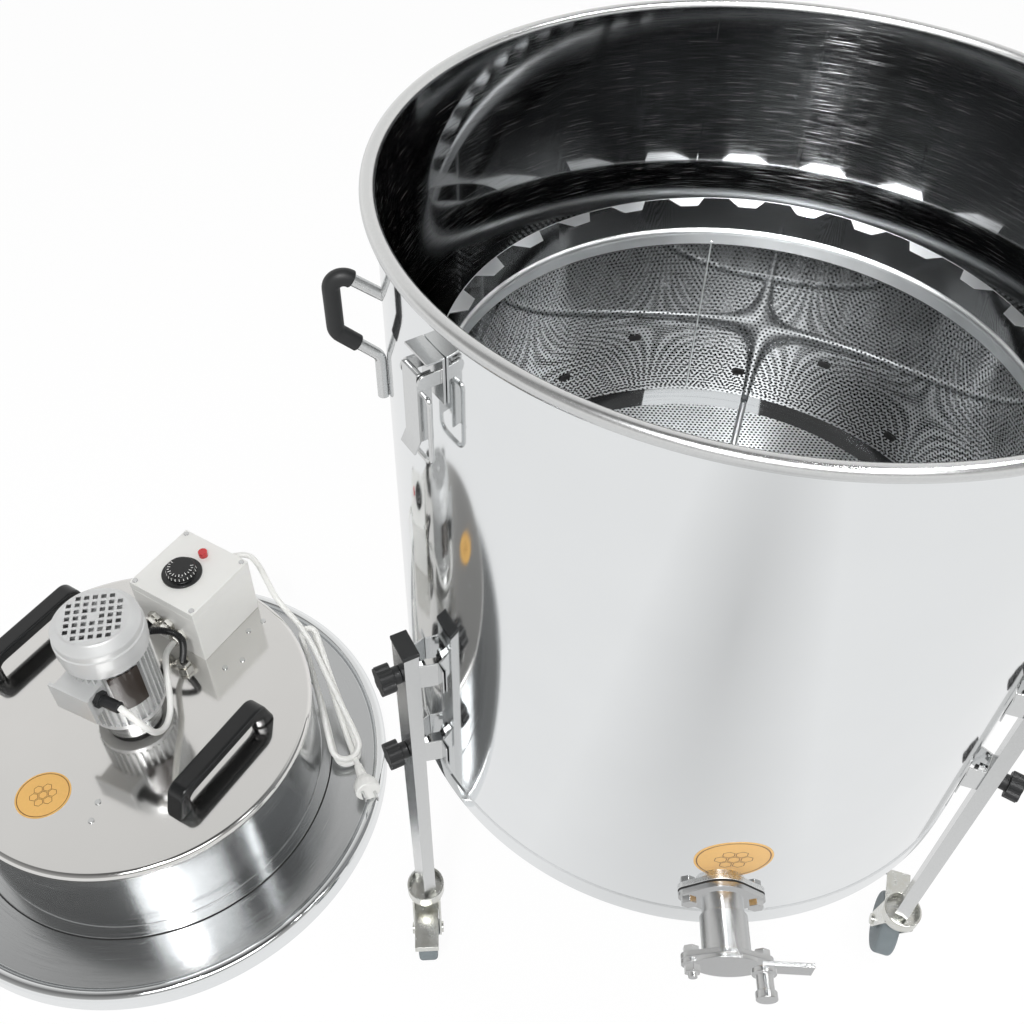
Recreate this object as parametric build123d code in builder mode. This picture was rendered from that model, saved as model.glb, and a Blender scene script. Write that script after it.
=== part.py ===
from build123d import *
from math import atan2, cos, degrees, radians, sin, sqrt, tan
import os

os.makedirs("parts", exist_ok=True)

# Fits between pieces
running_gap = 0.05  # radial play of a turning pin
free_gap = 0.3  # air between pieces that move past each other
seat_gap = 0.05  # air under a piece that is welded to a curved wall

# Tank shell
tank_bore = 640.0
tank_skin = 1.2
tank_rim = 1030.0  # top of the rolled rim above the floor
tank_height = 627.0
rim_bead = 12.0
hem_height = 25.0
tank_floor_rise = 57.0  # top of the bottom plate above the lower edge
floor_skin = 1.5
floor_flange = 20.0

# Tank handles
handle_angle = 10.5
handle_drop = 151.0  # lower weld below the rim
handle_span = 64.0  # between the two welds
handle_stub = 43.0
handle_reach = 39.0
handle_rise = 28.0
handle_bar = 10.0
grip_length = 60.0
grip_size = 14.5
bend_radius = 10.0

# Toggle latches
latch_angles = (-144.0, -24.0, 96.0)
latch_drop = 55.0  # lever pivot below the rim
latch_width = 30.0
latch_plate_up = 17.0
latch_plate_down = 24.0
latch_skin = 2.0
latch_pin = 5.0
latch_pin_out = 14.5
ear_size = 12.0
lever_width = 20.0
lever_skin = 1.5
lever_length = 54.0
lever_lip = 10.0
lever_depth = 10.0
bail_wire = 4.0
bail_drop = 14.0  # bail pivot below the lever pivot
bail_length = 60.0

# Legs
leg_angles = (-150.0, -30.0, 90.0)
leg_gap = 18.3  # air between the tank wall and a leg
leg_width = 30.0
leg_depth = 15.0
leg_skin = 1.5
leg_rise = 224.0  # top of the tube above the tank's lower edge
cap_height = 5.0
cap_lip = 1.0
cap_plug = 12.0
knob_rises = (52.0, 187.0)  # above the tank's lower edge
knob_screw = 8.0
knob_hub = 18.0
knob_hub_length = 8.0
knob_head = 26.0
knob_head_length = 14.0
knob_lobes = 6
knob_lobe = 11.0
bracket_height = 34.0
bracket_skin = 1.5
bracket_crown = 26.0
bracket_foot = 11.0
bracket_flare = 4.5
nut_flats = 13.0
nut_height = 6.5

# Castors
wheel_size = 80.0
wheel_width = 24.0
wheel_round = 5.0
axle_size = 8.0
castor_trail = 20.0
castor_headings = (-84.0, 75.0, 200.0)
fork_inside = 30.0
fork_skin = 2.5
fork_crown = 42.0
crown_skin = 4.0
fork_eye = 20.0
axle_head = 14.0
seat_height = 112.0  # underside of the castor seat above the floor
seat_size = 46.0
seat_wall = 3.0
seat_floor = 4.0
seat_rim = 16.0
kingpin = 10.0
kingpin_head = 18.0
kingpin_head_height = 4.0
pedal_pin = 5.0
pedal_pin_ahead = 12.0
pedal_pin_height = 89.0
pedal_sleeve = 10.0
pedal_skin = 2.5
pedal_length = 56.0
pedal_lip = 12.0

# Outlet and gate
outlet_above_floor = 36.0
stub_length = 12.0
stub_size = 44.0
flange_skin = 5.0
flange_half = 28.0
flange_bolts = 60.0
flange_end = 9.5
gasket_skin = 2.0
spigot_size = 38.0
spigot_bore = 34.0
spigot_length = 33.0
sleeve_size = 43.0
sleeve_length = 40.0
sleeve_lap = 12.0
gate_bolt = 8.0
gate_spread = 62.0  # pivot bolt to clamping stud
gate_half = 23.0
flap_skin = 4.0
flap_half = 23.0
flap_tip = 34.0
flap_arm = 18.0
flap_arm_reach = 43.0
stud_drift = 2.0  # widening of the slot for the swing
thumb_flange = 22.0
thumb_body = 15.0
thumb_crown = 19.0
thumb_flange_length = 5.0
thumb_body_length = 14.0
thumb_crown_length = 7.0
stud_in_nut = 18.0

# Basket
basket_bore = 555.0
basket_skin = 1.0
basket_drop = 229.0  # middle of the basket bead below the tank rim
basket_bead = 10.0
basket_depth = 234.0  # basket bead to the top of the basket floor
basket_ring_height = 16.0
basket_ring_skin = 1.5
ledge_width = 16.0
ledge_skin = 2.0
floor_plate = 1.5
spoke_size = 8.0
spoke_weld = 0.3
spoke_angle = 75.8
collar_rise = 41.0  # top of the collar above the basket bead
collar_lean = 1.5  # collar face outside the basket bore
tab_count = 27
tab_base = 40.0
tab_tip = 19.0
tab_length = 16.0
tab_start = 98.2
rest_angles = (30.0, 150.0, 270.0)
rest_width = 40.0
rest_skin = 3.0
rest_drop = 40.0
rest_lap = 12.0

# Lid
lid_ahead_x = -723.0  # lid axis from the tank axis, as it stands beside it
lid_ahead_y = 30.0
lid_skin = 1.0
rim_height = 33.0
rim_width = 18.0
rim_play = 4.0  # air between the tank bead and the rim channel
brim_height = 25.0
drum_size = 482.0
drum_top = 175.0
drum_round = 8.0
drum_flange = 15.0
shaft_hole = 18.0
bow_places = ((-27.9, 161.0, 0.0), (152.1, 198.0, -15.0))  # angle, radius and sideways shift
bow_length = 185.0
bow_height = 45.0
bow_thick = 26.0
bow_slant = 14.0
bow_gap_length = 126.0
bow_gap_height = 20.0
bow_keel = 9.0  # bevel of the grip's lower edges
bow_round = 18.0
bow_gap_round = 6.0
rivet_size = 8.0
rivet_height = 1.6
rivet_spacing = 26.0
rivet_pairs = ((34.2, 134.0), (47.5, 192.0), (-91.2, 141.0))

# Motor, fan and heater
base_ring_size = 78.0
base_ring_height = 12.0
ring_size = 72.0
ring_height = 14.0
flange_plate_size = 100.0
flange_plate = 8.0
frame_size = 92.0
frame_length = 115.0
fin_size = 104.0
fin_skin = 2.2
fin_count = 36
shield_size = 111.5
shield_height = 18.0
cowl_skin = 1.2
cowl_height = 42.0
cowl_lap = 4.0
cowl_bevel = 12.0
terminal_angle = -112.0
terminal_width = 54.0
terminal_height = 40.0
terminal_middle = 288.0
terminal_reach = 70.0
terminal_cover = 5.0
terminal_cover_lip = 4.0
motor_shaft = 10.0
fan_wheel_size = 180.0
fan_blades = 8
fan_blade_height = 38.0
fan_blade_skin = 1.5
fan_plate = 2.0
fan_hub = 36.0
fan_below_drum = 16.0
cooling_fan_size = 92.0
cooling_fan_height = 14.0
heater_ring_size = 340.0
heater_tube = 8.5
heater_below_drum = 40.0
heater_legs = 3

# Control box
box_angle = 70.7
box_radius = 173.1
box_turn = -28.0
box_size = 115.5
box_tray = 89.0
box_lid = 14.0
box_wall = 2.5
dial_skirt = 56.0
dial_skirt_height = 4.0
dial_grip = 43.0
dial_grip_height = 10.0
dial_shaft = 6.0
dial_shaft_depth = 26.0
lamp_size = 13.0
lamp_height = 9.0
lamp_shank = 10.0
lamp_depth = 20.0
dial_place = (-5.0, -8.0)  # on the cover, from its middle
lamp_place = (-2.3, 33.0)
screw_size = 8.0
screw_height = 1.5
screw_spacing = 103.0

# Glands and leads
lead_size = 8.5
conduit_size = 10.0
gland_flats = 20.0
gland_base = 7.0
gland_neck = 15.0
gland_neck_length = 3.0
gland_nut = 18.0
gland_nut_length = 6.0
conduit_gland = (-21.0, 50.0)  # along the box front from its middle, and above the drum
spare_gland = (2.0, 50.0)
motor_lead_gland = (22.5, 38.0)
disc_gland_along = 40.0  # along the box front, from its middle
disc_gland_ahead = 24.0  # in front of the box face
motor_gland_length = 33.0
motor_gland_height = 294.0
motor_gland_back = 19.0  # behind the face of the terminal cover
mains_gland_length = 16.0
mains_gland = (15.0, 37.0)  # along the box back from its middle, and above the drum
plug_neck = 12.0
plug_neck_length = 28.0
plug_body = 37.0
plug_body_length = 26.0
plug_pin = 4.8
plug_pin_length = 19.0
plug_pin_spacing = 19.0

# Radii and heights that follow
tank_r = tank_bore / 2
skin_r = tank_r + tank_skin
tank_low = tank_rim - tank_height
tank_floor = tank_low + tank_floor_rise
handle_foot = tank_rim - handle_drop
latch_height = tank_rim - latch_drop
leg_radius = skin_r + leg_gap + leg_depth / 2
leg_top = tank_low + leg_rise
knob_heights = [tank_low + rise for rise in knob_rises]
basket_top = tank_rim - basket_drop
basket_floor_height = basket_top - basket_depth
collar_top = basket_top + collar_rise
leg_inner = leg_radius - leg_depth / 2
leg_outer = leg_radius + leg_depth / 2
knob_tip = leg_outer + free_gap + knob_hub_length + knob_head_length
rim_inner = tank_r - lid_skin
lid_r = tank_r + rim_bead + rim_play + lid_skin
drum_r = drum_size / 2
stub_face = skin_r + stub_length
spigot_back = stub_face + gasket_skin
spigot_face = spigot_back + flange_skin
spigot_end = spigot_back + spigot_length
sleeve_back = spigot_end - sleeve_lap
gate_face = sleeve_back + sleeve_length
flap_back = gate_face + free_gap
flap_face = flap_back + flap_skin
thumb_back = flap_face + free_gap
gate_tip = thumb_back + thumb_flange_length + thumb_body_length + thumb_crown_length
outlet_height = tank_floor + outlet_above_floor

# The origin is on the floor under the middle of the tank and lid together
reach_left = lid_ahead_x - lid_r
reach_right = (skin_r + handle_reach) * cos(radians(handle_angle)) + grip_size / 2
tank_x = -(reach_left + reach_right) / 2
tank_y = (gate_tip - knob_tip) / 2
tank_axis = Vector(tank_x, tank_y)
lid_axis = Vector(tank_x + lid_ahead_x, tank_y + lid_ahead_y)


def heading(angle):
    """Level unit vector at an angle from +X."""
    return Vector(cos(radians(angle)), sin(radians(angle)))


def spot(axis, angle, radius, height):
    """Point at a polar position about an upright axis."""
    return axis + heading(angle) * radius + Vector(0, 0, height)


def facing(axis, angle, radius, height):
    """Upright plane that faces outward: x along the wall, y up."""
    return Plane(spot(axis, angle, radius, height), x_dir=heading(angle + 90), z_dir=heading(angle))


def section(axis, angle, radius=0.0, height=0.0):
    """Upright plane through an axis: x outward, y up."""
    return Plane(spot(axis, angle, radius, height), x_dir=heading(angle), z_dir=heading(angle - 90))


def level(axis, angle, radius, height):
    """Level plane: x outward, y along the wall."""
    return Plane(spot(axis, angle, radius, height), x_dir=heading(angle), z_dir=(0, 0, 1))


def upright(axis):
    """Vertical axis of revolution."""
    return Axis((axis.X, axis.Y, 0), (0, 0, 1))


def outlet(distance):
    """Plane across the outlet pipe at a distance from the tank axis: x right, y up."""
    return facing(tank_axis, -90, distance, outlet_height)


def hexagon(flats):
    """Hexagon by its width across flats."""
    return RegularPolygon(flats / 2, 6, major_radius=False, rotation=30)


def diamond(spread, half, end):
    """Two-bolt flange outline."""
    Circle(half)
    with Locations((-spread / 2, 0), (spread / 2, 0)):
        Circle(end)
    make_hull(mode=Mode.REPLACE)


def bend_radii(points):
    """Arc radius at each inner point of a lead: as large as its two runs allow."""
    radii = []
    for before, here, after in zip(points, points[1:], points[2:]):
        turn = radians((here - before).get_angle(after - here))
        shorter = min((here - before).length, (after - here).length)
        radii.append(0.45 * shorter / tan(turn / 2))
    return radii


def write(piece, name):
    """Label a finished piece and write its STEP file."""
    piece.part.label = name
    export_step(piece.part, f"parts/{name}.step")


# Tank wall with its rolled rim, folded lower hem and welded outlet stub
bead_middle = tank_rim - rim_bead / 2
with BuildPart() as tank_wall:
    with BuildSketch(section(tank_axis, 0)):
        with Locations((tank_r, tank_low)):
            Rectangle(tank_skin, bead_middle - tank_low, align=(Align.MIN, Align.MIN))
        with Locations((skin_r, tank_low)):
            Rectangle(tank_skin, hem_height, align=(Align.MIN, Align.MIN))
        with Locations((tank_r + rim_bead / 2, bead_middle)):
            Circle(rim_bead / 2)
    revolve(axis=upright(tank_axis))
    with BuildSketch(outlet(tank_r)):
        Circle(stub_size / 2)
    extrude(amount=stub_face - tank_r)
    with BuildSketch(outlet(stub_face - flange_skin)):
        diamond(flange_bolts, flange_half, flange_end)
        with Locations((-flange_bolts / 2, 0), (flange_bolts / 2, 0)):
            Circle(gate_bolt / 2 + seat_gap, mode=Mode.SUBTRACT)
    extrude(amount=flange_skin)
    with BuildSketch(outlet(tank_r - stub_length)):
        Circle(spigot_bore / 2)
    extrude(amount=2 * stub_length + tank_skin, mode=Mode.SUBTRACT)
write(tank_wall, "tank_wall")

# Tank bottom, a flanged plate welded inside the wall
bottom_r = tank_r - seat_gap
with BuildPart() as tank_bottom:
    with BuildSketch(section(tank_axis, 0)):
        with Locations((0, tank_floor)):
            Rectangle(bottom_r, floor_skin, align=(Align.MIN, Align.MAX))
        with Locations((bottom_r, tank_floor)):
            Rectangle(floor_skin, floor_flange, align=(Align.MAX, Align.MAX))
    revolve(axis=upright(tank_axis))
write(tank_bottom, "tank_bottom")

# Two bent bar handles, and the grips over their outer bends
bar_out = handle_bar / 2 + seat_gap
grip_top = handle_rise + grip_length
arm_slope = (grip_top - handle_span) / (handle_reach - bar_out)
handle_sides = (handle_angle, handle_angle + 180)
with BuildPart() as handle_bars:
    for angle in handle_sides:
        with BuildLine(section(tank_axis, angle, skin_r, handle_foot)) as bar:
            FilletPolyline(
                (bar_out, -handle_stub),
                (bar_out, 0),
                (handle_reach, handle_rise),
                (handle_reach, grip_top),
                (-bar_out, handle_span - 2 * bar_out * arm_slope),
                radius=bend_radius,
            )
        with BuildSketch(Plane(bar.line @ 0, z_dir=bar.line % 0)):
            Circle(handle_bar / 2)
        sweep(path=bar.line)
    with BuildSketch(level(tank_axis, 0, 0, handle_foot + handle_rise)):
        Circle(skin_r + seat_gap)
    extrude(amount=handle_span, mode=Mode.SUBTRACT)
write(handle_bars, "handle_bars")

arm_middle = (bar_out + handle_reach) / 2
with BuildPart() as handle_grips:
    for angle in handle_sides:
        with BuildLine(section(tank_axis, angle, skin_r, handle_foot)) as sleeve:
            FilletPolyline(
                (arm_middle, handle_rise / 2),
                (handle_reach, handle_rise),
                (handle_reach, grip_top),
                (arm_middle, (grip_top + handle_span) / 2),
                radius=bend_radius,
            )
        with BuildSketch(Plane(sleeve.line @ 0, z_dir=sleeve.line % 0)):
            Circle(grip_size / 2)
            Circle(handle_bar / 2 + seat_gap, mode=Mode.SUBTRACT)
        sweep(path=sleeve.line)
write(handle_grips, "handle_grips")

# Toggle latch plates with ears and pivot pins
ear_inner = lever_width / 2 + 2 * free_gap
ear_outer = ear_inner + latch_skin
plate_face = seat_gap + latch_skin
with BuildPart() as latch_plates:
    for angle in latch_angles:
        with BuildSketch(facing(tank_axis, angle, skin_r + seat_gap, latch_height)):
            with Locations((0, (latch_plate_up - latch_plate_down) / 2)):
                Rectangle(latch_width, latch_plate_up + latch_plate_down)
        extrude(amount=latch_skin)
        with BuildSketch(facing(tank_axis, angle, skin_r + seat_gap, latch_height)):
            with Locations((0, latch_plate_up)):
                Rectangle(latch_width, latch_skin, align=(Align.CENTER, Align.MAX))
        extrude(amount=latch_pin_out)
        for side in (-ear_outer, ear_inner):
            with BuildSketch(section(tank_axis, angle, skin_r, latch_height).offset(side)):
                with Locations((plate_face, 0)):
                    Rectangle(latch_pin_out - plate_face, ear_size, align=(Align.MIN, Align.CENTER))
                with Locations((latch_pin_out, 0)):
                    Circle(ear_size / 2)
            extrude(amount=latch_skin)
        with BuildSketch(section(tank_axis, angle, skin_r, latch_height).offset(-ear_outer)):
            with Locations((latch_pin_out, 0)):
                Circle(latch_pin / 2)
        extrude(amount=2 * ear_outer)
write(latch_plates, "latch_plates")

# Latch levers, each a channel with a flared lip, and their wire bails
web_inner = latch_pin_out + latch_pin / 2 + lever_skin
web_outer = web_inner + lever_skin
lever_head = latch_pin + lever_skin
flange_in = web_inner - lever_depth
bail_side = ear_outer + bail_wire
bail_low = -bail_drop - bail_length
for number, angle in enumerate(latch_angles, 1):
    lever_section = section(tank_axis, angle, skin_r, latch_height)
    with BuildPart() as latch_lever:
        with BuildSketch(lever_section.offset(-lever_width / 2)):
            with BuildLine():
                Polyline(
                    (web_inner, lever_head),
                    (web_outer, lever_head),
                    (web_outer, -lever_length),
                    (web_outer + lever_lip / 2, -lever_length - lever_lip),
                    (web_inner + lever_lip / 2, -lever_length - lever_lip),
                    (web_inner, -lever_length),
                    close=True,
                )
            make_face()
        extrude(amount=lever_width)
        for side in (-lever_width / 2, lever_width / 2 - lever_skin):
            with BuildSketch(lever_section.offset(side)):
                with Locations((flange_in, lever_head)):
                    Rectangle(lever_depth, lever_head + lever_length, align=(Align.MIN, Align.MAX))
                with Locations((latch_pin_out, 0)):
                    Circle(latch_pin / 2 + running_gap, mode=Mode.SUBTRACT)
                with Locations((latch_pin_out, -bail_drop)):
                    Circle(bail_wire / 2 + running_gap, mode=Mode.SUBTRACT)
            extrude(amount=lever_skin)
    write(latch_lever, f"latch_lever_{number}")

    with BuildPart() as latch_bail:
        bail_end = lever_width / 2 - 2 * lever_skin
        with BuildLine(facing(tank_axis, angle, skin_r + latch_pin_out, latch_height)) as wire:
            FilletPolyline(
                (-bail_end, -bail_drop),
                (-bail_side, -bail_drop),
                (-bail_side, bail_low),
                (bail_side, bail_low),
                (bail_side, -bail_drop),
                (bail_end, -bail_drop),
                radius=(bail_wire, 2 * bail_wire, 2 * bail_wire, bail_wire),
            )
        with BuildSketch(Plane(wire.line @ 0, z_dir=wire.line % 0)):
            Circle(bail_wire / 2)
        sweep(path=wire.line)
    write(latch_bail, f"latch_bail_{number}")

# Hat-section leg brackets with a welded nut behind each crown
crown_out = leg_inner - skin_r
crown_half = bracket_crown / 2
foot_start = crown_half + bracket_flare
foot_root = foot_start - bracket_skin
foot_in = sqrt(skin_r**2 - foot_root**2) - skin_r + seat_gap
screw_clear = knob_screw / 2 + free_gap
nut_back = skin_r + crown_out - bracket_skin - nut_height
with BuildPart() as leg_brackets:
    for angle in leg_angles:
        for height in knob_heights:
            with BuildSketch(level(tank_axis, angle, skin_r, height - bracket_height / 2)):
                with BuildLine():
                    Polyline(
                        (foot_in + bracket_skin, -foot_start - bracket_foot),
                        (foot_in + bracket_skin, -foot_start),
                        (crown_out, -crown_half),
                        (crown_out, crown_half),
                        (foot_in + bracket_skin, foot_start),
                        (foot_in + bracket_skin, foot_start + bracket_foot),
                        (foot_in, foot_start + bracket_foot),
                        (foot_in, foot_root),
                        (crown_out - bracket_skin, crown_half - bracket_skin),
                        (crown_out - bracket_skin, -crown_half + bracket_skin),
                        (foot_in, -foot_root),
                        (foot_in, -foot_start - bracket_foot),
                        close=True,
                    )
                make_face()
            extrude(amount=bracket_height)
            with BuildSketch(facing(tank_axis, angle, nut_back, height)):
                hexagon(nut_flats)
            extrude(amount=nut_height)
            with BuildSketch(facing(tank_axis, angle, nut_back, height)):
                Circle(knob_screw / 2 + running_gap)
            extrude(amount=nut_height + bracket_skin, mode=Mode.SUBTRACT)
write(leg_brackets, "leg_brackets")

# Leg tubes, standing in the castor seats, and their end caps
leg_foot = seat_height + seat_floor
with BuildPart() as leg_tubes:
    for angle in leg_angles:
        with BuildSketch(level(tank_axis, angle, leg_radius, leg_foot)):
            Rectangle(leg_depth, leg_width)
            Rectangle(leg_depth - 2 * leg_skin, leg_width - 2 * leg_skin, mode=Mode.SUBTRACT)
        extrude(amount=leg_top - leg_foot)
        for height in knob_heights:
            with BuildSketch(facing(tank_axis, angle, leg_inner, height)):
                Circle(screw_clear)
            extrude(amount=leg_depth, mode=Mode.SUBTRACT)
write(leg_tubes, "leg_tubes")

plug_play = leg_skin + seat_gap
with BuildPart() as leg_caps:
    for angle in leg_angles:
        with BuildSketch(level(tank_axis, angle, leg_radius, leg_top)):
            Rectangle(leg_depth + 2 * cap_lip, leg_width + 2 * cap_lip)
        extrude(amount=cap_height)
        with BuildSketch(level(tank_axis, angle, leg_radius, leg_top - cap_plug)):
            Rectangle(leg_depth - 2 * plug_play, leg_width - 2 * plug_play)
        extrude(amount=cap_plug)
write(leg_caps, "leg_caps")

# Clamping knobs, one to each bracket, screwed through the leg
knob_face = leg_outer + free_gap
knob_back = nut_back - nut_height / 2
number = 0
for angle in leg_angles:
    for height in knob_heights:
        number += 1
        with BuildPart() as leg_knob:
            with BuildSketch(facing(tank_axis, angle, knob_back, height)):
                Circle(knob_screw / 2)
            extrude(amount=knob_face - knob_back)
            with BuildSketch(facing(tank_axis, angle, knob_face, height)):
                Circle(knob_hub / 2)
            extrude(amount=knob_hub_length)
            with BuildSketch(facing(tank_axis, angle, knob_face + knob_hub_length, height)):
                Circle(knob_head / 2)
                with PolarLocations((knob_head - knob_lobe / 2) / 2, knob_lobes):
                    Circle(knob_lobe / 2)
            extrude(amount=knob_head_length)
        write(leg_knob, f"leg_knob_{number}")

# Castor seats: a dish for the leg with a kingpin riveted under the fork
crown_top = seat_height - free_gap
crown_low = crown_top - crown_skin
head_top = crown_low - free_gap
with BuildPart() as castor_seats:
    for angle in leg_angles:
        leg_axis = spot(tank_axis, angle, leg_radius, 0)
        with BuildSketch(section(leg_axis, angle)):
            with Locations((0, seat_height)):
                Rectangle(seat_size / 2, seat_floor, align=(Align.MIN, Align.MIN))
            with Locations((seat_size / 2, seat_height)):
                Rectangle(seat_wall, seat_rim, align=(Align.MAX, Align.MIN))
            with Locations((0, head_top)):
                Rectangle(kingpin / 2, seat_height - head_top, align=(Align.MIN, Align.MIN))
                Rectangle(kingpin_head / 2, kingpin_head_height, align=(Align.MIN, Align.MAX))
        revolve(axis=upright(leg_axis))
write(castor_seats, "castor_seats")

# Castor forks with their axles, wheels and brake pedals
axle_height = wheel_size / 2
fork_outer = fork_inside / 2 + fork_skin
for number, angle in enumerate(leg_angles, 1):
    leg_axis = spot(tank_axis, angle, leg_radius, 0)
    fork_section = section(leg_axis, castor_headings[number - 1])
    with BuildPart() as castor_fork:
        with BuildSketch(level(leg_axis, 0, 0, crown_low)):
            Circle(fork_crown / 2)
        extrude(amount=crown_skin)
        for side in (-fork_outer, fork_inside / 2):
            with BuildSketch(fork_section.offset(side)):
                with Locations((0, crown_low)):
                    Rectangle(seat_size - axle_head, crown_skin, align=(Align.CENTER, Align.MIN))
                with Locations((castor_trail, axle_height)):
                    Circle(fork_eye / 2)
                make_hull()
            extrude(amount=fork_skin)
        with BuildSketch(fork_section.offset(-fork_outer)):
            with Locations((castor_trail, axle_height)):
                Circle(axle_size / 2)
            with Locations((pedal_pin_ahead, pedal_pin_height)):
                Circle(pedal_pin / 2)
        extrude(amount=2 * fork_outer)
        for side in (-fork_outer - fork_skin, fork_outer):
            with BuildSketch(fork_section.offset(side)):
                with Locations((castor_trail, axle_height)):
                    Circle(axle_head / 2)
            extrude(amount=fork_skin)
        with BuildSketch(level(leg_axis, 0, 0, crown_low)):
            Circle(kingpin / 2 + running_gap)
        extrude(amount=crown_skin, mode=Mode.SUBTRACT)
    write(castor_fork, f"castor_fork_{number}")

    hub_width = fork_inside - 2 * free_gap
    with BuildPart() as castor_wheel:
        with BuildSketch(fork_section.offset(-wheel_width / 2)):
            with Locations((castor_trail, axle_height)):
                Circle(wheel_size / 2)
        extrude(amount=wheel_width)
        fillet(castor_wheel.edges().filter_by(GeomType.CIRCLE), wheel_round)
        with BuildSketch(fork_section.offset(-hub_width / 2)):
            with Locations((castor_trail, axle_height)):
                Circle(fork_eye / 2)
        extrude(amount=hub_width)
        with BuildSketch(fork_section.offset(-hub_width / 2)):
            with Locations((castor_trail, axle_height)):
                Circle(axle_size / 2 + running_gap)
        extrude(amount=hub_width, mode=Mode.SUBTRACT)
    write(castor_wheel, f"castor_wheel_{number}")

    with BuildPart() as brake_pedal:
        with BuildSketch(fork_section.offset(-hub_width / 2)):
            with Locations((pedal_pin_ahead, pedal_pin_height)):
                Circle(pedal_sleeve / 2)
            with Locations((pedal_pin_ahead, pedal_pin_height + pedal_sleeve / 2)):
                Rectangle(pedal_length, pedal_skin, align=(Align.MIN, Align.MAX))
            with Locations((pedal_pin_ahead + pedal_length, pedal_pin_height + pedal_sleeve / 2)):
                Rectangle(pedal_skin, pedal_lip, align=(Align.MAX, Align.MAX))
            with Locations((pedal_pin_ahead, pedal_pin_height)):
                Circle(pedal_pin / 2 + running_gap, mode=Mode.SUBTRACT)
        extrude(amount=hub_width)
    write(brake_pedal, f"brake_pedal_{number}")

# Outlet gasket and spigot, bolted to the stub
with BuildPart() as outlet_gasket:
    with BuildSketch(outlet(stub_face)):
        diamond(flange_bolts, flange_half, flange_end)
        Circle(spigot_bore / 2, mode=Mode.SUBTRACT)
        with Locations((-flange_bolts / 2, 0), (flange_bolts / 2, 0)):
            Circle(gate_bolt / 2 + seat_gap, mode=Mode.SUBTRACT)
    extrude(amount=gasket_skin)
write(outlet_gasket, "outlet_gasket")

with BuildPart() as outlet_spigot:
    with BuildSketch(outlet(spigot_back)):
        diamond(flange_bolts, flange_half, flange_end)
        with Locations((-flange_bolts / 2, 0), (flange_bolts / 2, 0)):
            Circle(gate_bolt / 2 + seat_gap, mode=Mode.SUBTRACT)
    extrude(amount=flange_skin)
    with BuildSketch(outlet(spigot_back)):
        Circle(spigot_size / 2)
    extrude(amount=spigot_length)
    with BuildSketch(outlet(spigot_back)):
        Circle(spigot_bore / 2)
    extrude(amount=spigot_length, mode=Mode.SUBTRACT)
write(outlet_spigot, "outlet_spigot")

# Gate body: a sleeve over the spigot with a two-bolt front plate
with BuildPart() as gate_body:
    with BuildSketch(outlet(sleeve_back)):
        Circle(sleeve_size / 2)
    extrude(amount=sleeve_length)
    with BuildSketch(outlet(gate_face - flange_skin)):
        diamond(gate_spread, gate_half, flange_end)
        with Locations((-gate_spread / 2, 0), (gate_spread / 2, 0)):
            Circle(gate_bolt / 2 + seat_gap, mode=Mode.SUBTRACT)
    extrude(amount=flange_skin)
    with BuildSketch(outlet(sleeve_back)):
        Circle(spigot_size / 2 + seat_gap)
    extrude(amount=sleeve_lap, mode=Mode.SUBTRACT)
    with BuildSketch(outlet(spigot_end)):
        Circle(spigot_bore / 2)
    extrude(amount=sleeve_length, mode=Mode.SUBTRACT)
write(gate_body, "gate_body")

# Flange bolts, gate pivot bolt and clamping stud, with their nuts
stub_rear = stub_face - flange_skin
plate_rear = gate_face - flange_skin
pivot_tip = thumb_back + nut_height + flap_skin
stud_tip = thumb_back + stud_in_nut
with BuildPart() as outlet_bolts:
    for across in (-flange_bolts / 2, flange_bolts / 2):
        for start, size in ((stub_rear - nut_height, nut_height), (spigot_face, nut_height)):
            with BuildSketch(outlet(start)):
                with Locations((across, 0)):
                    hexagon(nut_flats)
            extrude(amount=size)
        with BuildSketch(outlet(stub_rear - nut_height)):
            with Locations((across, 0)):
                Circle(gate_bolt / 2)
        extrude(amount=spigot_face + nut_height - stub_rear + nut_height)
    for across, tip in ((-gate_spread / 2, pivot_tip), (gate_spread / 2, stud_tip)):
        with BuildSketch(outlet(plate_rear - nut_height)):
            with Locations((across, 0)):
                hexagon(nut_flats)
        extrude(amount=nut_height)
        with BuildSketch(outlet(plate_rear - nut_height)):
            with Locations((across, 0)):
                Circle(gate_bolt / 2)
        extrude(amount=tip - plate_rear + nut_height)
    with BuildSketch(outlet(thumb_back)):
        with Locations((-gate_spread / 2, 0)):
            hexagon(nut_flats)
    extrude(amount=nut_height)
write(outlet_bolts, "outlet_bolts")

# Gate flap: a lens with a pivot eye, a slot that drops over the stud, and a finger arm
lens_r = (flap_tip**2 + flap_half**2) / (2 * flap_half)
lens_shift = lens_r - flap_half
stud_slot = gate_bolt / 2 + free_gap
arm_end = gate_spread / 2 + flap_arm_reach
with BuildPart() as gate_flap:
    with BuildSketch(outlet(flap_back)):
        with Locations((0, -lens_shift)):
            Circle(lens_r)
        with Locations((0, lens_shift)):
            Circle(lens_r, mode=Mode.INTERSECT)
        with Locations((-gate_spread / 2, 0)):
            Circle(flange_end)
        with Locations((arm_end, 0)):
            Rectangle(arm_end, flap_arm, align=(Align.MAX, Align.CENTER))
        with Locations((-gate_spread / 2, 0)):
            Circle(gate_bolt / 2 + running_gap, mode=Mode.SUBTRACT)
        with Locations((gate_spread / 2, 0)):
            Circle(stud_slot, mode=Mode.SUBTRACT)
        with Locations((gate_spread / 2 + stud_slot, 0)):
            Rectangle(2 * stud_slot + stud_drift, flap_half, align=(Align.MAX, Align.MAX), mode=Mode.SUBTRACT)
    extrude(amount=flap_skin)
write(gate_flap, "gate_flap")

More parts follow.
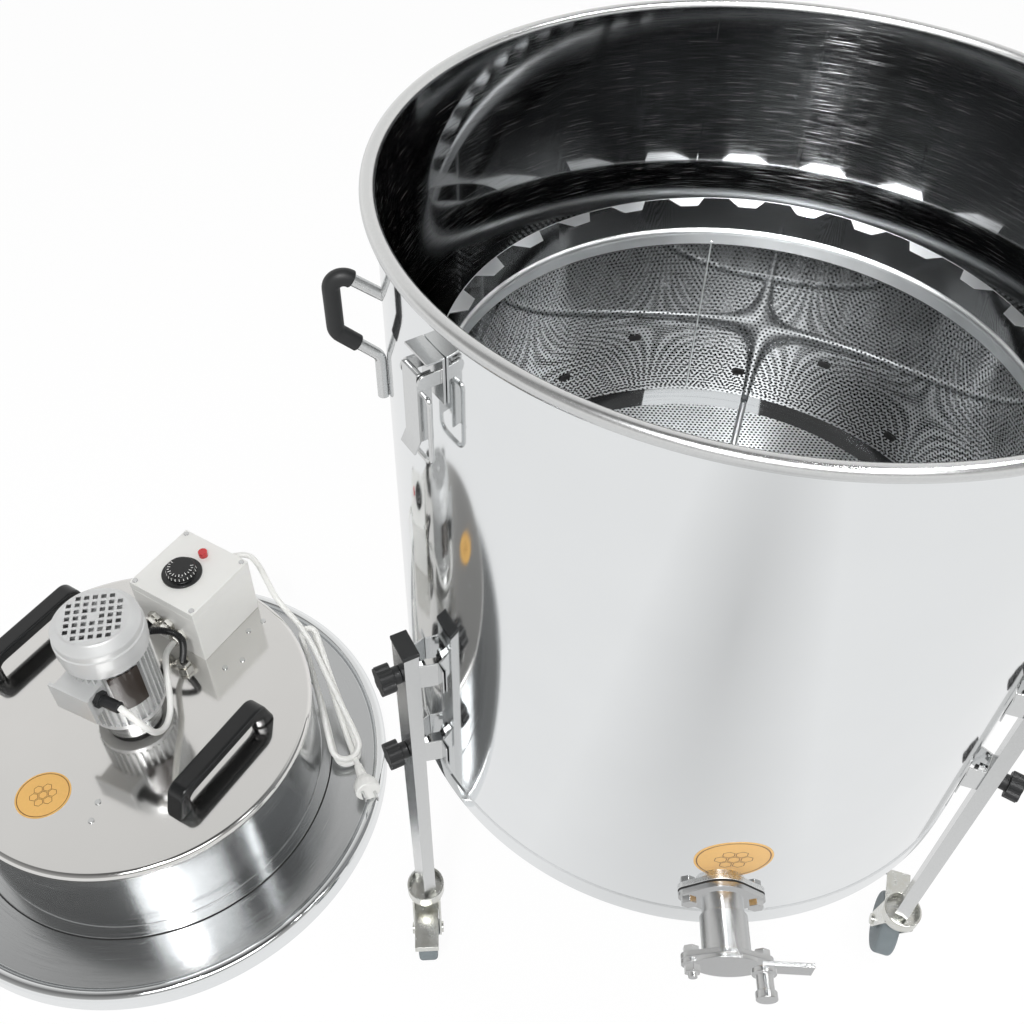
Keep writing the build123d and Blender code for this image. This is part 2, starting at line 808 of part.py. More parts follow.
# Turned thumb nut on the clamping stud
with BuildPart() as gate_nut:
    start = thumb_back
    for size, length in (
        (thumb_flange, thumb_flange_length),
        (thumb_body, thumb_body_length),
        (thumb_crown, thumb_crown_length),
    ):
        with BuildSketch(outlet(start)):
            with Locations((gate_spread / 2, 0)):
                Circle(size / 2)
        extrude(amount=length)
        start += length
    with BuildSketch(outlet(thumb_back)):
        with Locations((gate_spread / 2, 0)):
            Circle(gate_bolt / 2 + running_gap)
    extrude(amount=stud_in_nut + free_gap, mode=Mode.SUBTRACT)
write(gate_nut, "gate_nut")

# Basket wall with its top bead, bottom ring and inner ledge
basket_r = basket_bore / 2
basket_out = basket_r + basket_skin
ledge_top = basket_floor_height - floor_plate
ledge_low = ledge_top - ledge_skin
bead_r = basket_out + basket_bead / 4
with BuildPart() as basket_wall:
    with BuildSketch(section(tank_axis, 0)):
        with Locations((basket_r, ledge_low)):
            Rectangle(basket_skin, basket_top - ledge_low, align=(Align.MIN, Align.MIN))
            Rectangle(ledge_width, ledge_skin, align=(Align.MAX, Align.MIN))
        with Locations((basket_out, ledge_low)):
            Rectangle(basket_ring_skin, basket_ring_height, align=(Align.MIN, Align.MIN))
        with Locations((bead_r, basket_top)):
            Circle(basket_bead / 2)
    revolve(axis=upright(tank_axis))
write(basket_wall, "basket_wall")

# Basket collar with folded-in tabs, standing on the bead
collar_r = basket_r + collar_lean
tab_root = sqrt((collar_r + basket_skin) ** 2 - (tab_base / 2) ** 2) - seat_gap
with BuildPart() as basket_collar:
    with BuildSketch(level(tank_axis, 0, 0, basket_top + basket_bead / 2)):
        Circle(collar_r + basket_skin)
        Circle(collar_r, mode=Mode.SUBTRACT)
    extrude(amount=collar_top - basket_top - basket_bead / 2)
    with BuildSketch(level(tank_axis, 0, 0, collar_top - basket_skin)):
        with PolarLocations(tab_root, tab_count, tab_start):
            Polygon(
                (0, -tab_base / 2),
                (0, tab_base / 2),
                (-tab_length, tab_tip / 2),
                (-tab_length, -tab_tip / 2),
                align=None,
            )
    extrude(amount=basket_skin)
write(basket_collar, "basket_collar")

# Basket floor plate with a welded cross of rods
spoke_length = 2 * (basket_r - spoke_size)
with BuildPart() as basket_floor:
    with BuildSketch(level(tank_axis, 0, 0, ledge_top)):
        Circle(basket_r - seat_gap)
    extrude(amount=floor_plate)
    for angle in (spoke_angle, spoke_angle + 90):
        middle = basket_floor_height + spoke_size / 2 - spoke_weld
        with BuildSketch(facing(tank_axis, angle, -spoke_length / 2, middle)):
            Circle(spoke_size / 2)
        extrude(amount=spoke_length)
write(basket_floor, "basket_floor")

# Rests welded inside the tank, under the basket
rest_top = ledge_low - free_gap
rest_reach = tank_r - basket_r + rest_lap
rest_foot = sqrt(tank_r**2 - (rest_width / 2) ** 2) - seat_gap
with BuildPart() as basket_rests:
    for angle in rest_angles:
        with BuildSketch(level(tank_axis, angle, rest_foot, rest_top - rest_skin)):
            Rectangle(rest_reach, rest_width, align=(Align.MAX, Align.CENTER))
        extrude(amount=rest_skin)
        with BuildSketch(level(tank_axis, angle, rest_foot, rest_top - rest_drop)):
            Rectangle(rest_skin, rest_width, align=(Align.MAX, Align.CENTER))
        extrude(amount=rest_drop)
write(basket_rests, "basket_rests")

# Lid brim with the channel that drops over the tank rim
with BuildPart() as lid_brim:
    with BuildSketch(section(lid_axis, 0)):
        with Locations((lid_r, rim_height)):
            Rectangle(lid_skin, rim_height, align=(Align.MAX, Align.MAX))
            Rectangle(lid_r - rim_inner, lid_skin, align=(Align.MAX, Align.MAX))
        with Locations((rim_inner, rim_height)):
            Rectangle(lid_skin, rim_height - brim_height + lid_skin, align=(Align.MIN, Align.MAX))
        with Locations((rim_inner, brim_height)):
            Rectangle(rim_inner - drum_r + 2 * lid_skin, lid_skin, align=(Align.MAX, Align.MAX))
    revolve(axis=upright(lid_axis))
write(lid_brim, "lid_brim")

# Lid drum with a foot flange on the brim and a hole for the fan shaft
edge_r = drum_r - drum_round
edge_height = drum_top - drum_round
with BuildPart() as lid_drum:
    with BuildSketch(section(lid_axis, 0)):
        with BuildLine():
            Polyline(
                (drum_r - lid_skin, edge_height),
                (drum_r - lid_skin, brim_height),
                (drum_r + drum_flange, brim_height),
                (drum_r + drum_flange, brim_height + lid_skin),
                (drum_r, brim_height + lid_skin),
                (drum_r, edge_height),
            )
            CenterArc((edge_r, edge_height), drum_round, 0, 90)
            Polyline((edge_r, drum_top), (shaft_hole / 2, drum_top), (shaft_hole / 2, drum_top - lid_skin))
            Line((shaft_hole / 2, drum_top - lid_skin), (edge_r, drum_top - lid_skin))
            CenterArc((edge_r, edge_height), drum_round - lid_skin, 0, 90)
        make_face()
    revolve(axis=upright(lid_axis))
write(lid_drum, "lid_drum")

# Two bow handles on the drum
with BuildPart() as lid_handles:
    for angle, radius, shift in bow_places:
        with BuildSketch(facing(lid_axis, angle, radius - bow_thick / 2, drum_top)) as bow:
            with BuildLine():
                Polyline(
                    (shift - bow_length / 2, 0),
                    (shift + bow_length / 2, 0),
                    (shift + bow_length / 2 - bow_slant, bow_height),
                    (shift - bow_length / 2 + bow_slant, bow_height),
                    close=True,
                )
            make_face()
            fillet(bow.vertices().sort_by(Axis.Y)[-2:], radius=bow_round)
            with Locations((shift, 0)):
                Rectangle(bow_gap_length, bow_gap_height, align=(Align.CENTER, Align.MIN), mode=Mode.SUBTRACT)
            fillet(bow.vertices().group_by(Axis.Y)[1], radius=bow_gap_round)
        extrude(amount=bow_thick)
    keel_edges = lid_handles.edges().filter_by(GeomType.LINE).filter_by_position(
        Axis.Z, drum_top + bow_gap_height - seat_gap, drum_top + bow_gap_height + seat_gap
    )
    chamfer(keel_edges.sort_by(SortBy.LENGTH)[-4:], length=bow_keel)
write(lid_handles, "lid_handles")

# Stepped spacer ring between the drum and the motor
ring_low = drum_top + base_ring_height
frame_low = ring_low + ring_height
with BuildPart() as motor_ring:
    for size, low, high in ((base_ring_size, drum_top, ring_low), (ring_size, ring_low, frame_low)):
        with BuildSketch(level(lid_axis, 0, 0, low)):
            Circle(size / 2)
            Circle(shaft_hole / 2, mode=Mode.SUBTRACT)
        extrude(amount=high - low)
write(motor_ring, "motor_ring")

# Motor body: mounting flange, finned frame, rear shield and terminal box
frame_foot = frame_low + flange_plate
shield_low = frame_foot + frame_length
shield_top = shield_low + shield_height
box_root = frame_size / 2 - terminal_cover
with BuildPart() as motor_body:
    for size, low, high in (
        (flange_plate_size, frame_low, frame_foot),
        (frame_size, frame_foot, shield_low),
        (shield_size, shield_low, shield_top),
    ):
        with BuildSketch(level(lid_axis, 0, 0, low)):
            Circle(size / 2)
        extrude(amount=high - low)
    with BuildSketch(level(lid_axis, 0, 0, frame_foot)):
        with PolarLocations(fin_size / 2, fin_count):
            Rectangle(fin_size / 4, fin_skin, align=(Align.MAX, Align.CENTER))
    extrude(amount=frame_length)
    with BuildSketch(facing(lid_axis, terminal_angle, box_root, terminal_middle)):
        Rectangle(terminal_width, terminal_height)
    extrude(amount=terminal_reach - box_root)
    with BuildSketch(facing(lid_axis, terminal_angle, terminal_reach, terminal_middle)):
        Rectangle(terminal_width + 2 * terminal_cover_lip, terminal_height + 2 * terminal_cover_lip)
    extrude(amount=terminal_cover)
    with BuildSketch(level(lid_axis, 0, 0, frame_low)):
        Circle(motor_shaft / 2 + running_gap)
    extrude(amount=shield_top - frame_low, mode=Mode.SUBTRACT)
write(motor_body, "motor_body")

# Sheet cowl over the cooling fan
cowl_low = shield_top - cowl_lap
cowl_top = cowl_low + cowl_height
cowl_r = shield_size / 2 + seat_gap + cowl_skin
with BuildPart() as motor_cowl:
    with BuildSketch(section(lid_axis, 0)):
        with BuildLine():
            Polyline(
                (cowl_r - cowl_skin, cowl_low),
                (cowl_r, cowl_low),
                (cowl_r, cowl_top - cowl_bevel),
                (cowl_r - cowl_bevel, cowl_top),
                (0, cowl_top),
                (0, cowl_top - cowl_skin),
                (cowl_r - cowl_bevel - cowl_skin / 2, cowl_top - cowl_skin),
                (cowl_r - cowl_skin, cowl_top - cowl_bevel - cowl_skin / 2),
                close=True,
            )
        make_face()
    revolve(axis=upright(lid_axis))
write(motor_cowl, "motor_cowl")

# Fan rotor: shaft, hot-air fan wheel under the drum and cooling fan under the cowl
wheel_top = drum_top - lid_skin - fan_below_drum
wheel_low = wheel_top - fan_plate - fan_blade_height
cooling_low = shield_top + free_gap + cowl_skin
blade_root = fan_hub / 2 - fan_blade_skin
with BuildPart() as fan_wheel:
    with BuildSketch(level(lid_axis, 0, 0, wheel_low)):
        Circle(motor_shaft / 2)
    extrude(amount=cooling_low + cooling_fan_height - wheel_low)
    with BuildSketch(level(lid_axis, 0, 0, wheel_top - fan_plate)):
        Circle(fan_wheel_size / 2)
    extrude(amount=fan_plate)
    with BuildSketch(level(lid_axis, 0, 0, wheel_low)):
        Circle(fan_hub / 2)
        with PolarLocations(blade_root, fan_blades):
            Rectangle(fan_wheel_size / 2 - blade_root, fan_blade_skin, align=(Align.MIN, Align.CENTER))
    extrude(amount=fan_blade_height)
    with BuildSketch(level(lid_axis, 0, 0, cooling_low)):
        Circle(motor_shaft)
        with PolarLocations(motor_shaft / 2, fan_blades):
            Rectangle((cooling_fan_size - motor_shaft) / 2, fan_blade_skin, align=(Align.MIN, Align.CENTER))
    extrude(amount=cooling_fan_height)
write(fan_wheel, "fan_wheel")

# Tubular heater ring hung from the drum on its own legs
heater_middle = drum_top - lid_skin - heater_below_drum
with BuildPart() as heater_ring:
    with BuildSketch(section(lid_axis, 0)):
        with Locations((heater_ring_size / 2, heater_middle)):
            Circle(heater_tube / 2)
    revolve(axis=upright(lid_axis))
    with BuildSketch(level(lid_axis, 0, 0, heater_middle)):
        with PolarLocations(heater_ring_size / 2, heater_legs):
            Circle(heater_tube / 2 - seat_gap)
    extrude(amount=heater_below_drum)
write(heater_ring, "heater_ring")

# Control box tray and cover
box_middle = spot(lid_axis, box_angle, box_radius, 0)
tray_top = drum_top + box_tray
cover_top = tray_top + box_lid
with BuildPart() as control_box:
    with BuildSketch(level(box_middle, box_turn, 0, drum_top)):
        Rectangle(box_size, box_size)
    extrude(amount=box_tray)
    with BuildSketch(level(box_middle, box_turn, 0, drum_top + box_wall)):
        Rectangle(box_size - 2 * box_wall, box_size - 2 * box_wall)
    extrude(amount=box_tray, mode=Mode.SUBTRACT)
write(control_box, "control_box")

with BuildPart() as control_cover:
    with BuildSketch(level(box_middle, box_turn, 0, tray_top)):
        Rectangle(box_size, box_size)
    extrude(amount=box_lid)
    with BuildSketch(level(box_middle, box_turn, 0, tray_top)):
        Rectangle(box_size - 2 * box_wall, box_size - 2 * box_wall)
    extrude(amount=box_lid - box_wall, mode=Mode.SUBTRACT)
    with BuildSketch(level(box_middle, box_turn, 0, tray_top)):
        with Locations(dial_place):
            Circle(dial_shaft / 2 + running_gap)
        with Locations(lamp_place):
            Circle(lamp_shank / 2 + seat_gap)
    extrude(amount=box_lid, mode=Mode.SUBTRACT)
write(control_cover, "control_cover")

# Thermostat dial on its shaft
dial_low = cover_top + free_gap
with BuildPart() as thermostat_knob:
    with BuildSketch(level(box_middle, box_turn, 0, cover_top - dial_shaft_depth)):
        with Locations(dial_place):
            Circle(dial_shaft / 2)
    extrude(amount=dial_shaft_depth + free_gap)
    with BuildSketch(level(box_middle, box_turn, 0, dial_low)):
        with Locations(dial_place):
            Circle(dial_skirt / 2)
    extrude(amount=dial_skirt_height)
    with BuildSketch(level(box_middle, box_turn, 0, dial_low + dial_skirt_height)):
        with Locations(dial_place):
            Circle(dial_grip / 2)
    extrude(amount=dial_grip_height)
write(thermostat_knob, "thermostat_knob")

# Pilot lamp through the cover
with BuildPart() as pilot_lamp:
    with BuildSketch(level(box_middle, box_turn, 0, cover_top)):
        with Locations(lamp_place):
            Circle(lamp_size / 2)
    extrude(amount=lamp_height)
    with BuildSketch(level(box_middle, box_turn, 0, cover_top - lamp_depth)):
        with Locations(lamp_place):
            Circle(lamp_shank / 2)
    extrude(amount=lamp_depth)
write(pilot_lamp, "pilot_lamp")

# Rivets through the drum and screws of the box cover
with BuildPart() as lid_fasteners:
    for angle, radius in rivet_pairs:
        for step in (0, rivet_spacing):
            with BuildSketch(level(lid_axis, angle, radius + step, drum_top)):
                Circle(rivet_size / 2)
            extrude(amount=rivet_height)
    with BuildSketch(level(box_middle, box_turn, 0, cover_top)):
        with GridLocations(screw_spacing, screw_spacing, 2, 2):
            Circle(screw_size / 2)
    extrude(amount=screw_height)
write(lid_fasteners, "lid_fasteners")

# Planes on the box faces and at the motor: x along the face, y up
box_front = facing(box_middle, box_turn - 90, box_size / 2, drum_top)
box_back = facing(box_middle, box_turn + 90, box_size / 2, drum_top)
gland_length = gland_base + gland_neck_length + gland_nut_length
disc_gland = Plane(
    box_front.from_local_coords((disc_gland_along, 0, disc_gland_ahead)), x_dir=box_front.x_dir, z_dir=(0, 0, 1)
)
motor_gland_reach = terminal_reach + terminal_cover - motor_gland_back
motor_gland = Plane(
    spot(lid_axis, terminal_angle, motor_gland_reach, motor_gland_height)
    + heading(terminal_angle + 90) * terminal_width / 2,
    z_dir=heading(terminal_angle + 90),
)

# Metal glands on the box front and one on the drum
with BuildPart() as cable_glands:
    for plane, place in (
        (box_front, conduit_gland),
        (box_front, spare_gland),
        (box_front, motor_lead_gland),
        (disc_gland, (0, 0)),
    ):
        for flats, low, length in (
            (gland_flats, 0, gland_base),
            (gland_nut, gland_base + gland_neck_length, gland_nut_length),
        ):
            with BuildSketch(plane.offset(low)):
                with Locations(place):
                    hexagon(flats)
            extrude(amount=length)
        with BuildSketch(plane.offset(gland_base)):
            with Locations(place):
                Circle(gland_neck / 2)
        extrude(amount=gland_neck_length)
write(cable_glands, "cable_glands")

# Black plastic glands for the motor lead and the mains lead
with BuildPart() as cord_glands:
    for plane, place, length in (
        (motor_gland, (0, 0), motor_gland_length),
        (box_back, mains_gland, mains_gland_length),
    ):
        with BuildSketch(plane):
            with Locations(place):
                hexagon(gland_flats)
        extrude(amount=gland_base)
        with BuildSketch(plane.offset(gland_base)):
            with Locations(place):
                Circle(gland_neck / 2)
        extrude(amount=length - gland_base)
write(cord_glands, "cord_glands")


def on_lid(*points):
    """Points given from the lid axis, turned into places in the model."""
    return [lid_axis + Vector(point) for point in points]


# White motor lead, hanging from the motor gland to the right box gland
motor_route = [
    motor_gland.from_local_coords((0, 0, motor_gland_length)),
    *on_lid(
        (47.6, -81.5, 291),
        (60.5, -86.5, 278),
        (65, -83, 262),
        (66, -73, 236),
        (67.5, -52, 213),
        (66, -26, 205),
        (61.5, -4, 212),
        (54, 19, 222),
        (42, 50, 221),
        (37.5, 71, 216),
    ),
    box_front.from_local_coords((*motor_lead_gland, gland_length)),
]
with BuildPart() as motor_lead:
    with BuildLine() as lead_route:
        FilletPolyline(*motor_route, radius=bend_radii(motor_route))
    with BuildSketch(Plane(lead_route.line @ 0, z_dir=lead_route.line % 0)):
        Circle(lead_size / 2)
    sweep(path=lead_route.line)
write(motor_lead, "motor_lead")

# Black corrugated conduit, from the left box gland over to the gland on the drum
conduit_route = [
    box_front.from_local_coords((*conduit_gland, gland_length)),
    *on_lid((-1, 91, 230), (10, 80, 244), (34, 79, 252), (56, 79, 246), (64, 75, 227)),
    disc_gland.from_local_coords((0, 0, gland_length)),
]
with BuildPart() as conduit:
    with BuildLine() as conduit_line:
        FilletPolyline(*conduit_route, radius=bend_radii(conduit_route))
    with BuildSketch(Plane(conduit_line.line @ 0, z_dir=conduit_line.line % 0)):
        Circle(conduit_size / 2)
    sweep(path=conduit_line.line)
write(conduit, "conduit")

# White mains lead, from the back of the box round the drum to the hank
hank_head, hank_foot = on_lid((212, 156, 138), (288, 11, 38))
hank_run = hank_foot - hank_head
mains_route = [
    box_back.from_local_coords((*mains_gland, mains_gland_length)),
    *on_lid(
        (86.5, 250.1, 212),
        (103.8, 257.3, 211.5),
        (121.7, 251.7, 208),
        (149, 212, 196),
        (162.6, 191.8, 188),
    ),
    hank_head - hank_run.normalized() * 12,
    hank_head,
]
with BuildPart() as mains_lead:
    with BuildLine() as mains_line:
        FilletPolyline(*mains_route, radius=bend_radii(mains_route))
    with BuildSketch(Plane(mains_line.line @ 0, z_dir=mains_line.line % 0)):
        Circle(lead_size / 2)
    sweep(path=mains_line.line)
write(mains_lead, "mains_lead")

# Outer shape of the folded hank, leaning on the brim
hank_head_width, hank_head_depth = 26.0, 17.0
hank_foot_width, hank_foot_depth = 50.0, 20.0
hank_across = Vector(-hank_run.Y, hank_run.X)
with BuildPart() as mains_hank:
    with BuildSketch(Plane(hank_head, x_dir=hank_across, z_dir=hank_run)):
        RectangleRounded(hank_head_width, hank_head_depth, hank_head_depth / 3)
    with BuildSketch(Plane(hank_foot, x_dir=hank_across, z_dir=hank_run)):
        RectangleRounded(hank_foot_width, hank_foot_depth, hank_foot_depth / 3)
    loft()
write(mains_hank, "mains_hank")

# Mains plug lying on the rim: neck, body and two round pins
plug_start, plug_far = on_lid((298.5, 7.5, 42), (320.5, -38.5, 53))
plug_line = plug_far - plug_start
plug_turn = degrees(atan2(plug_line.Y, plug_line.X))
plug_base = Plane(plug_start, x_dir=heading(plug_turn + 90), z_dir=plug_line)
with BuildPart() as mains_plug:
    with BuildSketch(plug_base):
        Circle(plug_neck / 2)
    extrude(amount=plug_neck_length)
    with BuildSketch(plug_base.offset(plug_neck_length)):
        Circle(plug_neck)
    with BuildSketch(plug_base.offset(plug_neck_length + plug_body_length / 2)):
        Circle(plug_body / 2)
    loft()
    with BuildSketch(plug_base.offset(plug_neck_length + plug_body_length / 2)):
        Circle(plug_body / 2)
    extrude(amount=plug_body_length / 2)
    with BuildSketch(plug_base.offset(plug_neck_length + plug_body_length)):
        with GridLocations(plug_pin_spacing, plug_pin_spacing, 2, 1):
            Circle(plug_pin / 2)
    extrude(amount=plug_pin_length)
write(mains_plug, "mains_plug")

# Bend radii and volumes of the leads, against section times length
for name, piece, line, size in (
    ("motor lead", motor_lead, lead_route, lead_size),
    ("conduit", conduit, conduit_line, conduit_size),
    ("mains lead", mains_lead, mains_line, lead_size),
):
    length = line.wire().length
    ratio = piece.part.volume / (length * 3.14159 * size**2 / 4)
    print(f"{name}: length {length:.0f} mm, volume over section times length {ratio:.4f}")
print("motor lead radii", [round(radius, 1) for radius in bend_radii(motor_route)])
print("conduit radii", [round(radius, 1) for radius in bend_radii(conduit_route)])
print("mains lead radii", [round(radius, 1) for radius in bend_radii(mains_route)])
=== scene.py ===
from functools import cache
from math import atan2, cos, hypot, pi, radians, sin, sqrt, tan

import bmesh
import bpy
from bpy.props import FloatProperty, FloatVectorProperty, IntProperty, PointerProperty
from mathutils import Matrix, Vector


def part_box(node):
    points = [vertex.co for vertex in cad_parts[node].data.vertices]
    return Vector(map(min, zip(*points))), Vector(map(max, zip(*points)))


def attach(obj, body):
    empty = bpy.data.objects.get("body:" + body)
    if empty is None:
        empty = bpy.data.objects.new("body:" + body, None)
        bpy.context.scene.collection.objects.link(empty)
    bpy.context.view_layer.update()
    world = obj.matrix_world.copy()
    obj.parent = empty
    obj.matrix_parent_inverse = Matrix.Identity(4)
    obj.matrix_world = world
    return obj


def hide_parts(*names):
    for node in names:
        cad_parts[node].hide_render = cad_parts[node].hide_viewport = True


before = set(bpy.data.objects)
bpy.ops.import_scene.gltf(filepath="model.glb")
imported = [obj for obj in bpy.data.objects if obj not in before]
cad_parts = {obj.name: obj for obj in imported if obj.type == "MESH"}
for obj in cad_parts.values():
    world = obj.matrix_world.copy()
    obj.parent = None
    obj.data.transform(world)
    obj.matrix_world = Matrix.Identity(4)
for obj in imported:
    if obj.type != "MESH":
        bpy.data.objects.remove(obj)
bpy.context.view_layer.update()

bl_info = {
    "name": "Wax separator",
    "version": (1, 0, 0),
    "blender": (4, 5, 0),
    "location": "View3D > Sidebar > Separator",
    "description": "Steel, plastics, leads and stage for a honey wax separator on its packed frame",
    "category": "Object",
}

MM = 0.001


def middle(node):
    """Middle of a node's box."""
    low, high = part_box(node)
    return (Vector(low) + Vector(high)) / 2


def heights(node):
    """Heights of a node's lowest and highest points."""
    return [corner[2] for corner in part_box(node)]


tank_axis = Vector((*middle("tank_bottom").xy, 0))
lid_axis = Vector((*middle("lid_brim").xy, 0))
drum_top = heights("lid_drum")[1]
# Inner and outer radius of the tank's wall
tank_r, skin_r = 320.0 * MM, 321.2 * MM


def linear(code):
    """Linear colour of an sRGB hex value."""
    channels = [int(code[start : start + 2], 16) / 255 for start in (1, 3, 5)]
    return [c / 12.92 if c <= 0.04045 else ((c + 0.055) / 1.055) ** 2.4 for c in channels]


def length(name, description, default):
    """A size in metres that the sidebar shows."""
    return FloatProperty(name=name, description=description, default=default * MM, unit="LENGTH", precision=4)


def colour(name, description, code):
    """A colour that the sidebar shows."""
    return FloatVectorProperty(name=name, description=description, default=linear(code), subtype="COLOR", min=0, max=1)


class SeparatorSizes(bpy.types.PropertyGroup):
    """Sizes of the details that the frame doesn't give"""

    edge: length("Edge", "Rounding of sheet and bar edges", 0.5)
    hole: length("Perforation", "Width of a hole in the basket sheet", 3.0)
    pitch: length("Pitch", "Spacing of the holes in the basket sheet", 5.2)
    lead: length("Lead", "Outside diameter of the white leads", 8.5)
    conduit: length("Conduit", "Outside diameter of the corrugated conduit", 10.0)
    ridge: length("Ridge", "Spacing of the conduit's ridges", 2.6)
    badge: length("Badge", "Width of the oval labels", 70.0)
    cowl_hole: length("Cowl hole", "Width of a square hole in the fan cowl", 6.4)
    cowl_pitch: length("Cowl pitch", "Spacing of the holes in the fan cowl", 10.4)
    ticks: IntProperty(name="Ticks", description="Marks round the thermostat dial", default=15, min=2)


class SeparatorColours(bpy.types.PropertyGroup):
    """Colours of the materials"""

    steel: colour("Steel", "Polished stainless sheet", "#eef0f1")
    # Painted shade: the polished steel darkened for the inside of the tank
    shaded_inner_steel: colour("Inner steel", "Polished stainless inside the tank", "#9a9b9c")
    disc_steel: colour("Disc steel", "Fine satin stainless of the lid", "#e4e3e1")
    satin_steel: colour("Satin steel", "Bars, tubes and bolts", "#dcdddd")
    zinc: colour("Zinc", "Plated castor sheet", "#e4e6e6")
    motor: colour("Motor", "Silver enamel of the motor", "#d3d4d4")
    grey_plastic: colour("Grey plastic", "Control box", "#e9e9e6")
    black_plastic: colour("Black plastic", "Handles, knobs and dial", "#171819")
    white_plastic: colour("White plastic", "Leads and plug", "#f1f1ee")
    lamp: colour("Lamp", "Pilot lamp lens", "#d0101c")
    badge: colour("Badge", "Oval labels", "#e6b566")
    badge_ink: colour("Badge ink", "Print on the oval labels", "#6e4315")
    tyre: colour("Tyre", "Castor tread", "#7b8488")
    floor: colour("Floor", "Studio floor", "#ffffff")


def sizes():
    return bpy.context.scene.separator_sizes


def colours():
    return bpy.context.scene.separator_colours


def add_node(tree, kind, values=None, links=None, **settings):
    """Add a node with its settings, input values and links from other sockets."""
    node = tree.nodes.new(kind)
    for key, value in settings.items():
        setattr(node, key, value)
    for key, value in (values or {}).items():
        node.inputs[key].default_value = value
    for key, socket in (links or {}).items():
        tree.links.new(socket, node.inputs[key])
    return node


def new_material(name, base, values):
    """A material with one principled shader; returns it, its tree and the shader."""
    made = bpy.data.materials.new(name)
    made.use_nodes = True
    made.diffuse_color = (*base, 1)
    shader = made.node_tree.nodes["Principled BSDF"]
    shader.inputs["Base Color"].default_value = (*base, 1)
    for key, value in values.items():
        shader.inputs[key].default_value = value
    return made, made.node_tree, shader


def spread(tree, source, low, high, start=0.0, end=1.0):
    """Map a texture value, between start and end, to a range."""
    limits = {"From Min": start, "From Max": end, "To Min": low, "To Max": high}
    return add_node(tree, "ShaderNodeMapRange", limits, {"Value": source}).outputs["Result"]


def tint(tree, shader, factor, dark, light):
    """Blend two colours by a texture value into the base colour."""
    ends = {"A": (*dark, 1), "B": (*light, 1)}
    mix = add_node(tree, "ShaderNodeMix", ends, {"Factor": factor}, data_type="RGBA")
    tree.links.new(mix.outputs["Result"], shader.inputs["Base Color"])


def relief(tree, shader, height, depth, strength):
    """Bump the shader's normal by a texture value; depth is in millimetres."""
    bump = add_node(tree, "ShaderNodeBump", {"Strength": strength, "Distance": depth * MM}, {"Height": height})
    tree.links.new(bump.outputs["Normal"], shader.inputs["Normal"])


def shaded(base, factor):
    return [channel * factor for channel in base]


def speckle(tree, size, detail):
    """Noise whose grains are about size millimetres across, in the object's own space."""
    place = add_node(tree, "ShaderNodeTexCoord").outputs["Object"]
    values = {"Scale": 1 / (size * MM), "Detail": detail}
    return add_node(tree, "ShaderNodeTexNoise", values, {"Vector": place}).outputs["Fac"]


metal = {"Metallic": 1.0}


def textured(name, base, dark, tone, rough, values=metal, skin=None, bump=None):
    """A material whose colour follows the noise tone and whose roughness follows skin, or tone again.

    A noise is its grain in millimetres and its detail; bump is the noise, depth and strength of a relief.
    """
    made, tree, shader = new_material(name, base, values)
    skin = skin or tone
    noises = {grain: speckle(tree, *grain) for grain in dict.fromkeys((tone, skin, *(bump or ())[:1]))}
    tint(tree, shader, noises[tone], dark, base)
    tree.links.new(spread(tree, noises[skin], *rough), shader.inputs["Roughness"])
    if bump:
        grain, depth, strength = bump
        relief(tree, shader, noises[grain], depth, strength)
    return made


def ground_sheet(name, base, drawn, across, along, rough, share):
    """Polished sheet that keeps some of its grinding lines, which draw a lamp out into an upright streak.

    The lines follow a lathe's turn, so many millimetres across and along; they take up a share of the sheet.
    """
    made, tree, shader = new_material(
        name, base, {"Metallic": 1.0, "Anisotropic": drawn, "Anisotropic Rotation": 0.25}
    )
    place = add_node(tree, "ShaderNodeTexCoord").outputs["UV"]
    scale = (1 / (along * MM), 1 / (across * MM), 1)
    place = add_node(tree, "ShaderNodeMapping", {"Scale": scale}, {"Vector": place}).outputs["Vector"]
    lines = add_node(tree, "ShaderNodeTexNoise", {"Scale": 1.0, "Detail": 3.0}, {"Vector": place}).outputs["Fac"]
    tint(tree, shader, lines, shaded(base, 0.95), base)
    soft = 0.12
    tree.links.new(spread(tree, lines, *rough, 1 - share - soft, 1 - share + soft), shader.inputs["Roughness"])
    turn = add_node(tree, "ShaderNodeTangent", direction_type="RADIAL", axis="Z")
    tree.links.new(turn.outputs["Tangent"], shader.inputs["Tangent"])
    return made


@cache
def polished_sheet():
    """Stainless sheet, bright rolled: near-mirror, its reflections soft at the edges and faintly wavy."""
    base = colours().steel
    # Rolling waves of about 160 mm bend long reflections a little
    waves = ((160, 0.0), 0.4, 0.03)
    return textured("stainless_sheet_bright_rolled", base, shaded(base, 0.96), (90, 2.0), (0.04, 0.09), bump=waves)


@cache
def disc_sheet():
    """Stainless sheet, fine satin: pale warm grey, a clear but softened reflection."""
    base = colours().disc_steel
    # Sheet grain is about 0.3 mm; it is drawn at 1.6 mm so that it shows
    grain = ((1.6, 3.0), 0.02, 0.08)
    return textured("stainless_sheet_fine_satin", base, shaded(base, 0.95), (70, 2.0), (0.07, 0.12), bump=grain)


# Grinding lines are about 0.2 mm apart; on these four sheets they are drawn at 0.4 to 1 mm so that they show
@cache
def inner_sheet():
    """Stainless sheet, polished inside the tank: a dark mirror, its base colour darkened as painted shade, with upright
    streaks where a lamp strikes it.
    """
    return ground_sheet("stainless_sheet_polished_inside", colours().shaded_inner_steel, 1.0, 0.4, 45, (0.05, 0.42), 0.33)


@cache
def drum_side_sheet():
    """Stainless sheet, ground round the drum: bright, with upright streaks; its base colour is the steel darkened to
    0.64 as painted shade.
    """
    base = shaded(colours().steel, 0.64)
    return ground_sheet("stainless_sheet_ground_drum", base, 0.85, 1.0, 120, (0.14, 0.3), 0.35)


